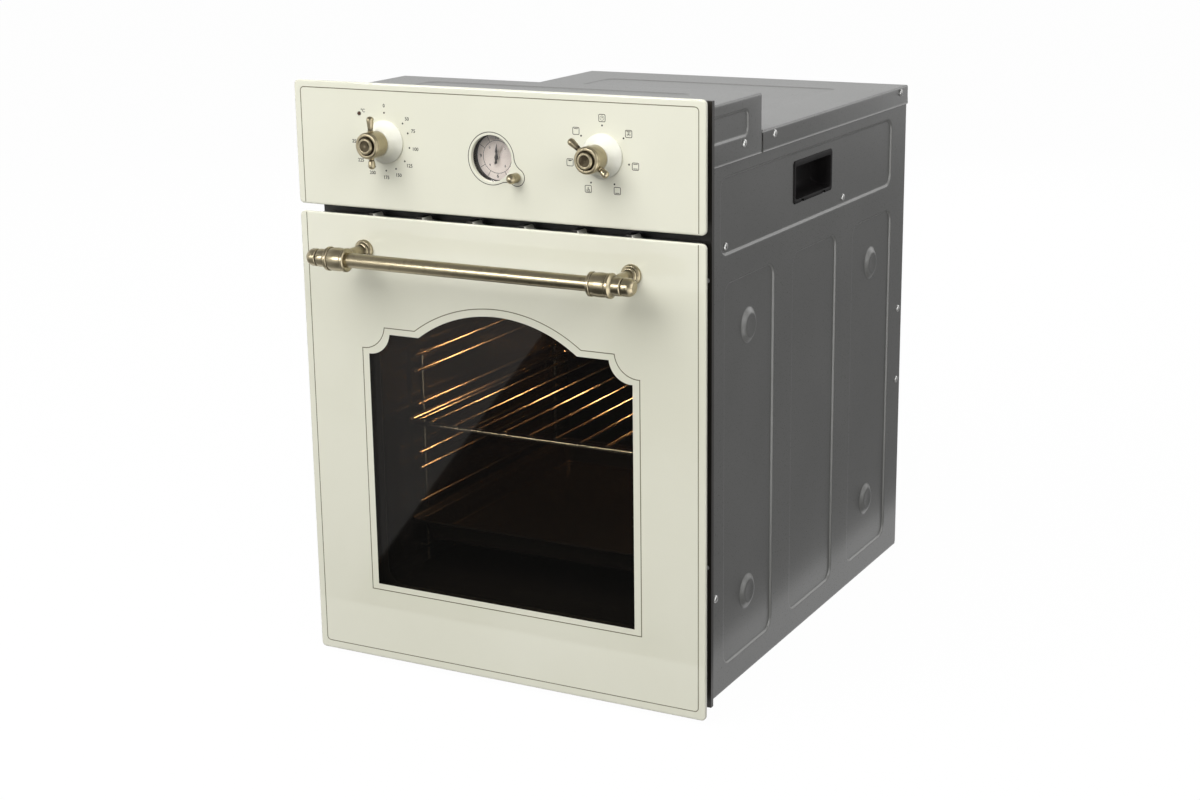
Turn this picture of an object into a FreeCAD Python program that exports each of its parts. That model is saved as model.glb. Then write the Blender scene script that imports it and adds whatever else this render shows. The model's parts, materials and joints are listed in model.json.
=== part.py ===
"""Narrow built-in electric oven with a drop-down glass door, as separate pieces, in millimetres.

Axes: +X to the right seen from the front, +Y to the rear, +Z up.
Origin: centre of the underside of the base panel.
Depths in the door and the control panel count back from the face of the glass,
depths in the casing and the cavity count back from the furniture plane.
"""
import FreeCAD, Part
import math
import os

V = FreeCAD.Vector
X = V(1, 0, 0)
Y = V(0, 1, 0)
Z = V(0, 0, 1)

# Sheet-metal casing
sheet = 1.0
body_width = 406.0
body_depth = 550.0
base_flange = 14.0
rear_flange = 25.0
frame_flange = 36.0
flange_clear = 4.0
cover_lap = 21.0
rear_lap = 14.0
cover_slit = 2.0
slit_bridge = 7.0
control_box_depth = 134.0
control_box_drop = 13.0
top_step = 37.0
side_drop = 1.6

# Flat left at the tip of a rounded turned end
turned_tip = 0.4

# Fields pressed into the casing
press_depth = 2.0
press_corner = 14.0
grip_field_front = 40.0
grip_field_rear = 47.0
grip_field_drop = 32.5
grip_field_height = 75.0
tall_field_front = 50.0
tall_field_rear = 44.0
tall_field_width = 120.0
tall_field_count = 3
tall_field_bottom = 26.0
tall_field_gap = 27.5
box_field_end = 32.0
box_field_margin = 11.0
box_field_corner = 8.0
box_top_side = 54.0
box_top_front = 30.0
box_top_rear = 34.0
top_field_side = 58.0
top_field_front = 26.0
top_field_rear = 65.0
rear_field_side = 52.0
rear_field_bottom = 120.0
rear_field_height = 290.0
button_radius = 19.0
button_face = 11.0
button_height = 3.6
button_from_top = 52.0
button_from_bottom = 61.0

# Carrying grips
grip_centre = 273.0
grip_lift = 6.0
grip_length = 104.0
grip_height = 44.0
grip_bezel = 3.0
grip_proud = 1.0
grip_wall = 2.0
grip_depth = 24.0
grip_slack = 0.2

# Casing screws
screw_radius = 1.9
screw_slack = 0.1
screw_head = 4.0
screw_head_height = 2.0
screw_length = 8.0
cover_screw_drop = 6.0
cover_screw_rear = 25.0
cover_screw_front = 30.0
box_screw_end = 43.0
guide_screw_front = 55.0
guide_screw_rear = 358.0
rear_screw_inset = 14.5
rear_screw_heights = (208.0, 293.0)
frame_screw_depth = 30.0
frame_screw_height = 105.0
back_screw_spacing = 150.0

# Vent slots in the base and the rear panel
vent_length = 34.0
vent_width = 5.0
vent_pitch = 46.0
vent_count = 7
vent_row_pitch = 12.0
vent_rows = 2
base_vent_depth = 90.0
rear_vent_height = 46.0

# Front
front_width = 446.0
front_standoff = 35.0
door_lift = 5.0
door_height = 465.0
door_gap = 7.5
panel_height = 122.5
glass = 4.0
glass_corner = 5.0
enamel = 0.3
frame_overlap = 12.0
frame_lip = 5.0
frame_bottom = 6.0
frame_top_drop = 5.0
cabinet_hole_radius = 2.3
cabinet_hole_inset = 4.5
cabinet_hole_low = 150.0
cabinet_hole_rise = 280.0

# Clear window printed in the door
window_width = 295.0
window_rise = 81.6
window_shoulder = 265.5
window_notch = 25.0
window_notch_drop = 21.5
window_arch_width = 177.0
window_arch_rise = 29.5

# Cavity
cavity_width = 322.0
cavity_height = 340.0
cavity_depth = 400.0
cavity_rise = 67.0
cavity_corner = 18.0
liner_flange = 14.0
insulation = 32.0
insulation_slack = 0.3
wool_side_gap = 5.7
heater_space = 14.0
seal_width = 9.0
seal_inset = 4.0
seal_slack = 0.3

# Racks, wire shelf and baking tray
ladder_rod = 2.0
ladder_inset = 12.0
ladder_post_inset = 8.5
ladder_first = 8.0
ladder_pitch = 53.0
ladder_pair = 17.0
ladder_levels = 5
ladder_front = 52.0
ladder_rear = 30.0
ladder_stud = 3.0
shelf_rung_count = 3
tray_rung_count = 1
rack_slack = 0.3
shelf_rod = 2.5
shelf_bar = 1.6
shelf_bar_pitch = 29.2
shelf_bar_count = 9
shelf_side_shift = 1.5
rack_front = 28.0
rack_rear = 32.0
tray_depth = 23.0
tray_wall_inset = 9.0
tray_slope = 5.0
tray_lip = 3.0
tray_overhang = 1.2
tray_corner = 12.0

# Heaters
heater_radius = 3.5
heater_slack = 0.3
heater_bend = 20.0
heater_tail = 40.0
top_heater_drop = 20.0
top_heater_side = 31.0
top_heater_front = 56.0
grill_outer_half = 85.0
grill_inner_half = 28.0
grill_front = 90.0
grill_rear = 60.0
bottom_heater_side = 61.0
bottom_heater_front = 60.0

# Convection fan
fan_radius = 70.0
fan_blades = 8
fan_blade_depth = 14.0
fan_hub = 9.0
fan_shaft = 3.5
fan_cover_radius = 95.0
fan_cover_depth = 26.0
fan_back_gap = 4.0
fan_slots = 12
fan_slot_inner = 20.0
fan_slot_length = 42.0
fan_slot_width = 7.0
shaft_slack = 0.05
shaft_room = 1.0
motor_radius = 30.0
motor_length = 40.0
motor_plate = 2.0
motor_leg = 3.0
motor_leg_spacing = 76.0
motor_insert = 30.0

# Oven lamp
lamp_from_wall = 46.0
lamp_drop = 62.0
lamp_rim = 24.0
lamp_rim_depth = 3.0
lamp_dome = 18.0
lamp_wall = 2.0
lamp_bulb = 11.0
lamp_socket = 13.0
lamp_slack = 0.4

# Thermostat probe
probe_radius = 3.0
probe_length = 90.0
probe_inset = 21.0
probe_drop = 37.0
capillary_radius = 1.0
capillary_bend = 12.0
capillary_side = 18.0
capillary_drop = 35.0
capillary_rear = 40.0
capillary_turn = 30.0

# Knobs and control bodies
knob_from_edge = 104.5
knob_rise = 66.5
rosette_radius = 20.8
rosette_height = 13.5
rosette_top = 13.0
rosette_bore = 3.6
rosette_gap = 0.4
knob_radius = 12.7
knob_length = 22.0
knob_cap = 7.6
knob_cap_proud = 2.8
lever_from_face = 11.5
lever_root = 2.3
lever_bulb = 3.6
lever_long = 27.4
lever_short = 23.3
selector_turn = -360.0 / 7.0
shaft_radius = 3.0
shaft_in_knob = 16.0
panel_hole = 4.0
neck_radius = 5.0
neck_slack = 0.2
neck_length = 5.0
control_size = 44.0
control_depth = 40.0
shaft_in_control = 30.0
carrier_wall = 2.0
carrier_inset = 15.0
carrier_margin = 6.0
control_window_side = 30.0
control_window_margin = 9.0
pilot_from_knob = 29.0
pilot_rise = 92.5
pilot_radius = 1.8
pilot_body = 3.0
pilot_proud = 0.6
pilot_depth = 20.0
pilot_slack = 0.2

# Clock
clock_rise = 57.2
clock_hole = 22.0
clock_wall = 2.0
clock_recess = 12.0
dial_thickness = 0.6
clock_slack = 0.1
lens_thickness = 1.2
lens_depth = 4.6
clock_case_radius = 27.0
clock_case_depth = 36.0
clock_flange = 4.0
clock_flange_thickness = 1.5
hand_thickness = 0.4
hand_pitch = 1.2
hand_first_gap = 1.0
minute_length = 13.0
minute_tail = 6.5
minute_width = 1.3
hour_length = 9.5
hour_tail = 6.0
hour_width = 2.2
alarm_length = 13.5
alarm_tail = 7.0
alarm_width = 0.9
minute_angle = 6.0
hour_angle = 0.5
alarm_angle = 28.0
arbor_radius = 0.7
arbor_wall = 0.57
arbor_slack = 0.08
arbor_depth = 14.0
clock_knob_x = 27.5
clock_knob_drop = 16.2
clock_knob_radius = 4.8
clock_knob_length = 14.4
clock_knob_gap = 0.6
clock_stem = 2.0
clock_stem_depth = 34.0
clock_stem_hole = 3.0
clock_lobe = 7.0

# Door
door_frame_inset = 15.0
door_frame_bottom = 4.0
door_frame_top = 3.0
door_frame_depth = 23.0
door_window_side = 58.0
door_window_bottom = 71.0
door_window_top = 64.0
inner_glass_lap = 30.0
clip_width = 22.0
clip_lap = 6.0
clip_thickness = 1.0
rail_lip = 12.0
rail_slots = 7
rail_slot_length = 48.0
rail_slot_pitch = 57.0
rail_slot_margin = 4.0

# Hinges
hinge_x = 195.0
pivot_depth = 10.0
pivot_rise = 12.0
pin_radius = 3.0
pin_slack = 0.06
arm_thickness = 4.0
arm_height = 8.0
arm_eye = 5.0
arm_reach = 25.0
arm_hook = 4.0
arm_hook_length = 6.0
arm_lug = 11.0
arm_lug_width = 6.0
arm_slack = 0.6
channel_width = 14.0
channel_wall = 2.0
channel_gap = 1.0
channel_length = 190.0
channel_rise = 6.0
web_clear = 9.0
spring_radius = 4.5
spring_length = 120.0
spring_depth = 13.5
spring_rod = 1.2
spring_gap = 0.3
spring_link = 32.0
anchor_radius = 2.5
receiver_width = 10.0
receiver_length = 32.0
receiver_rise = 7.0
receiver_bar = 11.0

# Handle
handle_from_edge = 75.4
handle_drop = 34.0
handle_reach = 52.0
bar_radius = 7.2
bar_wall = 1.2
bar_seat = 6.5
bar_slack = 0.05
cap_inset = 16.1
cap_length = 45.5
cap_radius = 11.8
cap_neck = 8.6
cap_ring = 3.4
cap_barrel = 19.0
cap_collar = 22.6
cap_shoulder = 25.0
cap_groove = 33.0
cap_button = 5.5
cap_step = 0.8
post_radius = 5.5
post_slack = 0.05
post_end = 3.5
post_rosette = 10.2
post_rosette_height = 8.6
handle_screw = 2.5
handle_screw_head = 5.0
handle_screw_head_height = 3.0
handle_screw_length = 14.0
handle_screw_slack = 0.05
handle_hole = 3.2

# Cooling blower, terminal block and cable gland
guide_front = 15.0
guide_rear = 12.0
guide_flange = 9.0
blower_depth = 300.0
blower_length = 200.0
blower_wall = 1.5
blower_gap = 4.0
blower_top_gap = 4.0
blower_mouth = 60.0
blower_blades = 20
blower_blade_width = 6.0
blower_blade = 1.0
blower_disc = 1.5
blower_end_gap = 2.0
blower_shaft = 2.5
blower_motor_length = 36.0
blower_motor_gap = 6.0
terminal_x = 150.0
terminal_rise = 30.0
terminal_width = 60.0
terminal_height = 26.0
terminal_depth = 22.0
terminal_posts = 3
terminal_post_radius = 3.0
terminal_post_height = 4.0
gland_drop = 34.0
gland_bore = 5.0
gland_radius = 8.0
gland_flange = 12.0
gland_flange_thickness = 3.0
gland_length = 14.0
gland_slack = 0.1

# Places that follow from the sizes
furniture_y = -body_depth / 2
rear_y = body_depth / 2
glass_y = furniture_y - front_standoff
frame_face_y = furniture_y - frame_lip
side_x = body_width / 2
cover_x = side_x + sheet
door_z0 = door_lift
door_z1 = door_z0 + door_height
panel_z0 = door_z1 + door_gap
panel_z1 = panel_z0 + panel_height
frame_x = side_x + frame_overlap
frame_z0 = frame_bottom
frame_z1 = panel_z1 - frame_top_drop
box_z = panel_z1 - control_box_drop
top_z = box_z - top_step
side_z1 = top_z - side_drop
cavity_x = cavity_width / 2
cavity_z0 = door_z0 + cavity_rise
cavity_z1 = cavity_z0 + cavity_height
cavity_y0 = frame_face_y + sheet
cavity_y1 = furniture_y + cavity_depth
back_y = cavity_y1 + sheet
wool_y = back_y + insulation_slack + insulation
wool_z1 = cavity_z1 + sheet + insulation_slack + insulation
guide_z = wool_z1 + insulation_slack
knob_x = front_width / 2 - knob_from_edge
knob_z = panel_z0 + knob_rise
pilot_x = knob_x + pilot_from_knob
clock_z = panel_z0 + clock_rise
clock_knob_z = clock_z - clock_knob_drop
carrier_y = frame_face_y - carrier_wall
dial_y = glass_y + clock_recess
case_y = dial_y + dial_thickness
door_frame_y = glass_y + door_frame_depth
inner_glass_y = door_frame_y + glass
pivot_y = glass_y + pivot_depth
pivot_z = door_z0 + pivot_rise
handle_x = front_width / 2 - handle_from_edge
handle_z = door_z1 - handle_drop
cap_inner = handle_x - cap_inset
bar_y = glass_y - handle_reach
fan_z = (cavity_z0 + cavity_z1) / 2
lamp_x = cavity_x - lamp_from_wall
lamp_z = cavity_z1 - lamp_drop
ladder_x = cavity_x - ladder_inset
ladder_rods = [cavity_z0 + ladder_first + ladder_pitch * n for n in range(ladder_levels)]
top_heater_half = cavity_x - top_heater_side
bottom_heater_half = cavity_x - bottom_heater_side
top_heater_z = cavity_z1 - top_heater_drop
bottom_heater_z = cavity_z0 - sheet - heater_radius - heater_slack
probe_x = -(cavity_x - probe_inset)
probe_z = cavity_z1 - probe_drop
terminal_z = guide_z + terminal_rise
gland_z = terminal_z - gland_drop


# Plain shapes
def behind(depth):
    """The y of a depth behind the face of the glass."""
    return glass_y + depth


def inside(depth):
    """The y of a depth behind the furniture plane."""
    return furniture_y + depth


def box(x, y, z):
    """Block between the two ends given on each axis."""
    sizes = [max(ends) - min(ends) for ends in (x, y, z)]
    return Part.makeBox(*sizes, V(min(x), min(y), min(z)))


def rod(start, end, radius):
    """Round rod from one point to another."""
    return Part.makeCylinder(radius, (end - start).Length, start, end - start)


def joined(shapes):
    """One solid from shapes that overlap."""
    return shapes[0].multiFuse(shapes[1:]).removeSplitter()


def group(shapes):
    """Separate solids kept together as one piece."""
    return Part.makeCompound(shapes)


def mirrored(shape):
    """The same shape on the other side of the middle plane."""
    return shape.mirror(V(0, 0, 0), X)


def pair(shape):
    """A shape and its mirror image."""
    return group([shape, mirrored(shape)])


def rounded(u, v, radius, at):
    """Closed rounded rectangle; at(u, v) puts its points in space."""
    low_u, high_u = u
    low_v, high_v = v
    bend = radius * (1 - math.sqrt(0.5))
    runs = [
        ((low_u + radius, low_v), (high_u - radius, low_v), (high_u - bend, low_v + bend)),
        ((high_u, low_v + radius), (high_u, high_v - radius), (high_u - bend, high_v - bend)),
        ((high_u - radius, high_v), (low_u + radius, high_v), (low_u + bend, high_v - bend)),
        ((low_u, high_v - radius), (low_u, low_v + radius), (low_u + bend, low_v + bend)),
    ]
    edges = []
    for n, (start, end, corner) in enumerate(runs):
        following = runs[(n + 1) % len(runs)][0]
        edges.append(Part.LineSegment(at(*start), at(*end)).toShape())
        edges.append(Part.Arc(at(*end), at(*corner), at(*following)).toShape())
    return Part.Wire(edges)


def front_plate(x, z, y, radius):
    """Rounded plate that faces the front, between two depths."""
    wire = rounded(x, z, radius, lambda u, v: V(u, y[0], v))
    return Part.Face(wire).extrude(V(0, y[1] - y[0], 0))


def flat_plate(x, y, z, radius):
    """Rounded plate that lies level, between two heights."""
    wire = rounded(x, y, radius, lambda u, v: V(u, v, z[0]))
    return Part.Face(wire).extrude(V(0, 0, z[1] - z[0]))


def side_plate(y, z, x, radius):
    """Rounded plate that faces sideways, between two places along X."""
    wire = rounded(y, z, radius, lambda u, v: V(x[0], u, v))
    return Part.Face(wire).extrude(V(x[1] - x[0], 0, 0))


def turned(profile, centre, axis):
    """Turned solid; profile steps are (along, radius) or that and a point on the way, for an arc."""
    out = X if abs(axis.z) > 0.5 else Z
    edges = []

    def at(along, radius):
        return centre + axis * along + out * radius

    last = at(*profile[-1][:2])
    for step in profile:
        point = at(*step[:2])
        if len(step) == 4:
            edges.append(Part.Arc(last, at(*step[2:]), point).toShape())
        else:
            edges.append(Part.LineSegment(last, point).toShape())
        last = point
    return Part.Face(Part.Wire(edges)).revolve(centre, axis, 360)


def bent_rod(points, radius, bend):
    """Round rod along straight runs, with every corner bent to one radius."""
    edges = []
    last = points[0]
    for before, corner, after in zip(points, points[1:], points[2:]):
        inward = (corner - before).normalize()
        outward = (after - corner).normalize()
        half = inward.getAngle(outward) / 2
        trim = bend * math.tan(half)
        middle = (outward - inward).normalize() * (bend / math.cos(half) - bend)
        start = corner - inward * trim
        end = corner + outward * trim
        edges.append(Part.LineSegment(last, start).toShape())
        edges.append(Part.Arc(start, corner + middle, end).toShape())
        last = end
    edges.append(Part.LineSegment(last, points[-1]).toShape())
    section = Part.Wire(Part.Circle(points[0], points[1] - points[0], radius).toShape())
    return Part.Wire(edges).makePipeShell([section], True, False)


def pressed(panel, u, v, at, corner=press_corner):
    """Press a rounded field into a panel; at(u, v, depth) places a point at a depth below its face."""

    def block(grow, start, end):
        wires = []
        for depth in (start, end):
            step = grow - depth
            wires.append(rounded(
                (u[0] - step, u[1] + step),
                (v[0] - step, v[1] + step),
                corner + step,
                lambda a, b, depth=depth: at(a, b, depth),
            ))
        return Part.makeLoft(wires, True, True)

    boss = block(sheet, sheet / 2, press_depth + sheet)
    pocket = block(0, -sheet / 2, press_depth)
    return panel.fuse(boss).cut(pocket)


# Casing screws, and the holes that they pass through
def screw(seat, axis):
    """Round-headed screw whose head sits on the point given."""
    return turned(
        [
            (-screw_length, 0),
            (-screw_length, screw_radius),
            (0, screw_radius),
            (0, screw_head),
            (screw_head_height * 0.4, screw_head),
            (screw_head_height, turned_tip, screw_head_height * 0.85, screw_head * 0.55),
            (screw_head_height, 0),
        ],
        seat,
        axis,
    )


def side_screw_seats():
    """Where the screws of the right-hand side sit."""
    cover_z = top_z - cover_screw_drop
    guide_screw_z = guide_z + guide_flange - screw_head
    seats = [
        V(cover_x, inside(control_box_depth - box_screw_end), cover_z),
        V(cover_x, inside(control_box_depth + cover_screw_front), cover_z),
        V(cover_x, rear_y - cover_screw_rear, cover_z),
        V(side_x - press_depth, inside(guide_screw_front), guide_screw_z),
        V(side_x - press_depth, inside(guide_screw_rear), guide_screw_z),
        V(side_x, inside(frame_screw_depth), frame_screw_height),
    ]
    seats += [V(side_x, rear_y - rear_screw_inset, height) for height in rear_screw_heights]
    return seats


def back_screw_seats():
    """Where the screws through the rear lap of the top panel sit."""
    z = top_z - rear_lap / 2 - sheet
    return [V(n * back_screw_spacing, rear_y + sheet, z) for n in (-1, 0, 1)]


def casing_screws():
    right = [screw(seat, X) for seat in side_screw_seats()]
    back = [screw(seat, Y) for seat in back_screw_seats()]
    return group(right + [mirrored(one) for one in right] + back)


def drilled(shape):
    """Open the screw holes in a casing panel."""
    radius = screw_radius + screw_slack
    right = [rod(seat - X * screw_length, seat + X * sheet, radius) for seat in side_screw_seats()]
    back = [rod(seat - Y * screw_length, seat + Y * sheet, radius) for seat in back_screw_seats()]
    return shape.cut(group(right + [mirrored(one) for one in right] + back))


# Casing
def vent_slots(at, row_start):
    """Rows of long slots; at(u, v) cuts one slot at its centre."""
    slots = []
    for row in range(vent_rows):
        for n in range(vent_count):
            u = (n - (vent_count - 1) / 2) * vent_pitch
            slots.append(at(u, row_start + row * vent_row_pitch))
    return group(slots)


def base_panel():
    inner_x = side_x - sheet
    floor = box((-inner_x, inner_x), (furniture_y, rear_y - sheet), (0, sheet))
    side = box((inner_x - sheet, inner_x), (furniture_y, rear_y - sheet), (0, base_flange))
    front_x = hinge_x - receiver_width
    front = box((-front_x, front_x), (furniture_y, furniture_y + sheet), (0, base_flange))

    def slot(u, v):
        ends_y = (v - vent_width / 2, v + vent_width / 2)
        ends_x = (u - vent_length / 2, u + vent_length / 2)
        return flat_plate(ends_x, ends_y, (-sheet, 2 * sheet), vent_width * 0.45)

    panel = joined([floor, side, mirrored(side), front])
    return panel.cut(vent_slots(slot, inside(base_vent_depth)))


def tall_fields():
    """Front and rear ends of the upright pressed fields of a side panel."""
    room = body_depth - tall_field_front - tall_field_rear - tall_field_width
    pitch = room / (tall_field_count - 1)
    starts = [tall_field_front + pitch * n for n in range(tall_field_count)]
    return [(inside(start), inside(start + tall_field_width)) for start in starts]


def side_panel():
    """Right-hand side panel."""
    panel = box((side_x - sheet, side_x), (furniture_y, rear_y), (0, side_z1))

    def at(y, z, depth):
        return V(side_x - depth, y, z)

    field_top = top_z - grip_field_drop
    field_low = field_top - grip_field_height
    tall_z = (tall_field_bottom, field_low - tall_field_gap)
    grip_field_y = (inside(grip_field_front), rear_y - grip_field_rear)
    panel = pressed(panel, grip_field_y, (field_low, field_top), at)
    for ends in tall_fields():
        panel = pressed(panel, ends, tall_z, at)
    floor_x = side_x - press_depth
    for ends in (tall_fields()[0], tall_fields()[-1]):
        for z in (tall_z[0] + button_from_bottom, tall_z[1] - button_from_top):
            foot = V(floor_x - sheet, sum(ends) / 2, z)
            rise = button_height + sheet
            button = Part.makeCone(button_radius + sheet, button_face + sheet, rise, foot, X)
            hollow = Part.makeCone(button_radius, button_face, button_height, foot, X)
            panel = panel.fuse(button).cut(hollow)
    grip_z = (field_low + field_top) / 2 + grip_lift
    half = grip_height / 2 - grip_bezel
    reach = grip_length / 2 - grip_bezel
    opening = side_plate(
        (inside(grip_centre) - reach, inside(grip_centre) + reach),
        (grip_z - half, grip_z + half),
        (side_x - grip_depth, side_x + sheet),
        grip_bezel,
    )
    return drilled(panel.cut(opening).removeSplitter())


def carry_grip():
    """Right-hand carrying grip: a bezel on the panel and a pocket through it."""
    grip_z = top_z - grip_field_drop - grip_field_height / 2 + grip_lift
    y = inside(grip_centre)
    face_x = side_x - press_depth
    half_y = grip_length / 2
    half_z = grip_height / 2
    bezel = side_plate(
        (y - half_y, y + half_y),
        (grip_z - half_z, grip_z + half_z),
        (face_x, face_x + grip_proud),
        grip_bezel,
    )
    inset = grip_bezel + grip_slack
    pocket = side_plate(
        (y - half_y + inset, y + half_y - inset),
        (grip_z - half_z + inset, grip_z + half_z - inset),
        (face_x - grip_depth, face_x + grip_proud),
        grip_bezel,
    )
    inset += grip_wall
    hand = side_plate(
        (y - half_y + inset, y + half_y - inset),
        (grip_z - half_z + inset, grip_z + half_z - inset),
        (face_x - grip_depth + grip_wall, face_x + 2 * grip_proud),
        grip_bezel,
    )
    return bezel.fuse(pocket).cut(hand).removeSplitter()


def rear_panel():
    inner_x = side_x - sheet
    face_y = rear_y - sheet
    panel = box((-inner_x, inner_x), (face_y, rear_y), (0, side_z1))
    flange_z = (base_flange + flange_clear, top_z - cover_lap - flange_clear)
    flange = box((inner_x - sheet, inner_x), (rear_y - rear_flange, rear_y), flange_z)
    panel = joined([panel, flange, mirrored(flange)])
    field_x = inner_x - rear_field_side

    def at(x, z, depth):
        return V(x, rear_y - depth, z)

    field_z = (rear_field_bottom, rear_field_bottom + rear_field_height)
    panel = pressed(panel, (-field_x, field_x), field_z, at)

    def slot(u, v):
        ends_x = (u - vent_length / 2, u + vent_length / 2)
        ends_z = (v - vent_width / 2, v + vent_width / 2)
        return front_plate(ends_x, ends_z, (face_y - sheet, rear_y + sheet), vent_width * 0.45)

    low = vent_slots(slot, rear_vent_height)
    high = vent_slots(slot, top_z - rear_lap - rear_vent_height)
    hole_y = (V(-terminal_x, face_y - sheet, gland_z), V(-terminal_x, rear_y + sheet, gland_z))
    gland_hole = rod(*hole_y, gland_radius + gland_slack)
    return drilled(panel.cut(low).cut(high).cut(gland_hole))


def top_panel():
    """Rear top panel with laps over both sides and the rear."""
    front_y = inside(control_box_depth)
    lap_z = (top_z - cover_lap, top_z)
    top = box((-cover_x, cover_x), (front_y, rear_y + sheet), (top_z - sheet, top_z))
    side = box((side_x, cover_x), (front_y + cover_slit, rear_y + sheet), lap_z)
    rear = box((-cover_x, cover_x), (rear_y, rear_y + sheet), (top_z - rear_lap, top_z))
    panel = joined([top, side, mirrored(side), rear])
    field_x = cover_x - top_field_side

    def at(x, y, depth):
        return V(x, y, top_z - depth)

    field_y = (front_y + top_field_front, rear_y - top_field_rear)
    return drilled(pressed(panel, (-field_x, field_x), field_y, at).removeSplitter())


def control_cover():
    """Raised cover over the controls."""
    end_y = inside(control_box_depth)
    lap_z = top_z - cover_lap
    top = box((-cover_x, cover_x), (cavity_y0, end_y), (box_z - sheet, box_z))
    side = box((side_x, cover_x), (cavity_y0, end_y), (lap_z, box_z))
    bridge = box((side_x, cover_x), (cavity_y0, end_y + cover_slit), (lap_z, lap_z + slit_bridge))
    rear = box((-cover_x, cover_x), (end_y - sheet, end_y), (side_z1 + sheet / 2, box_z))

    def at(y, z, depth):
        return V(cover_x - depth, y, z)

    field_y = (inside(box_field_margin), end_y - box_field_end)
    field_z = (top_z, box_z - box_field_margin)
    wall = pressed(joined([side, bridge]), field_y, field_z, at, box_field_corner)

    def above(x, y, depth):
        return V(x, y, box_z - depth)

    top_x = cover_x - box_top_side
    top = pressed(top, (-top_x, top_x), (inside(box_top_front), end_y - box_top_rear), above)
    return drilled(joined([top, wall, mirrored(wall), rear]))


# Front frame, with the mouth of the cavity and the window for the controls
def front_frame():
    outer = box((-frame_x, frame_x), (frame_face_y, furniture_y), (frame_z0, frame_z1))
    inner_x = frame_x - sheet
    inner_z = (frame_z0 + sheet, frame_z1 - sheet)
    pan = outer.cut(box((-inner_x, inner_x), (frame_face_y + sheet, furniture_y + sheet), inner_z))
    flange_x = side_x - sheet
    flange_z = (base_flange + flange_clear, top_z - cover_lap - flange_clear)
    flange = box((flange_x - sheet, flange_x), (frame_face_y, inside(frame_flange)), flange_z)
    frame = joined([pan, flange, mirrored(flange)])
    through = (frame_face_y - sheet, frame_face_y + 2 * sheet)
    mouth = front_plate((-cavity_x, cavity_x), (cavity_z0, cavity_z1), through, cavity_corner)
    window_x = frame_x - control_window_side
    window_z = (panel_z0 + control_window_margin, frame_z1 - control_window_margin)
    window = front_plate((-window_x, window_x), window_z, through, cavity_corner)
    arm_x = arm_thickness / 2 + arm_slack
    arm_z = (pivot_z - arm_height / 2 - arm_hook - arm_slack, pivot_z + arm_height / 2 + arm_slack)
    slot = box((hinge_x - arm_x, hinge_x + arm_x), through, arm_z)
    holes = []
    for x in (-1, 1):
        for z in (cabinet_hole_low, cabinet_hole_low + cabinet_hole_rise):
            centre = V(x * (frame_x - cabinet_hole_inset), through[0], z)
            holes.append(Part.makeCylinder(cabinet_hole_radius, through[1] - through[0], centre, Y))
    return drilled(frame.cut(group([mouth, window, slot, mirrored(slot)] + holes)))


# Cavity
def tube(grow, y):
    """Block with the section of the cavity, grown on every side."""
    x = cavity_x + grow
    return front_plate((-x, x), (cavity_z0 - grow, cavity_z1 + grow), y, cavity_corner + grow)


def cavity_liner():
    wall = tube(sheet, (cavity_y0, cavity_y1))
    flange = tube(sheet + liner_flange, (cavity_y0, cavity_y0 + sheet))
    return wall.fuse(flange).cut(tube(0, (cavity_y0 - sheet, cavity_y1 + sheet))).removeSplitter()


def heater_tails():
    """Where the heater legs pass through the back wall of the cavity."""
    return [V(x, 0, top_heater_z) for x in (
        -top_heater_half, -grill_outer_half, grill_outer_half, top_heater_half
    )]


def motor_legs():
    half = motor_leg_spacing / 2
    return [V(x * half, 0, fan_z + z * half) for x in (-1, 1) for z in (-1, 1)]


def back_holes(slack):
    """Every hole through the back wall and the wool behind it."""
    holes = [(one, heater_radius + heater_slack) for one in heater_tails()]
    holes += [(one, motor_leg + slack) for one in motor_legs()]
    holes.append((V(0, 0, fan_z), fan_shaft + shaft_room))
    holes.append((V(lamp_x, 0, lamp_z), lamp_socket + lamp_slack))
    holes.append((V(probe_x, 0, probe_z), capillary_radius + heater_slack))
    cuts = []
    for place, radius in holes:
        start = V(place.x, cavity_y1 - sheet, place.z)
        end = V(place.x, wool_y + sheet, place.z)
        cuts.append(rod(start, end, radius))
    return group(cuts)


def cavity_back():
    return tube(sheet, (cavity_y1, back_y)).cut(back_holes(0.0))


def insulation_back():
    return tube(0, (back_y + insulation_slack, wool_y)).cut(back_holes(insulation_slack))


def insulation_wrap():
    """Wool round the cavity, with room under its floor for the bottom heater."""
    start = cavity_y0 + sheet + insulation_slack
    inner = sheet + insulation_slack
    x = cavity_x + inner
    low = cavity_z0 - sheet - heater_space
    hollow_z = (low, cavity_z1 + inner)
    hollow = front_plate((-x, x), hollow_z, (start - sheet, cavity_y1 + sheet), cavity_corner + inner)
    outer_x = side_x - sheet - press_depth - wool_side_gap
    outer = front_plate(
        (-outer_x, outer_x),
        (low - insulation, wool_z1),
        (start, cavity_y1),
        cavity_corner + inner + insulation,
    )
    return outer.cut(hollow)


def door_seal():
    y = (inner_glass_y + seal_slack, frame_face_y)
    outer = tube(seal_inset + seal_width, y)
    return outer.cut(tube(seal_inset, (y[0] - sheet, y[1] + sheet)))


# Heaters
def loop_heater(points, z):
    """Heating element bent in a level plane; points are (x, y)."""
    return bent_rod([V(x, y, z) for x, y in points], heater_radius, heater_bend)


def top_heater():
    rear = back_y + heater_tail
    front = inside(top_heater_front)
    half = top_heater_half
    return loop_heater([(-half, rear), (-half, front), (half, front), (half, rear)], top_heater_z)


def grill_heater():
    rear = back_y + heater_tail
    turn = cavity_y1 - grill_rear
    front = inside(grill_front)
    outer = grill_outer_half
    inner = grill_inner_half
    left = [(-outer, rear), (-outer, front), (-inner, front), (-inner, turn)]
    right = [(inner, turn), (inner, front), (outer, front), (outer, rear)]
    return loop_heater(left + right, top_heater_z)


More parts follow.
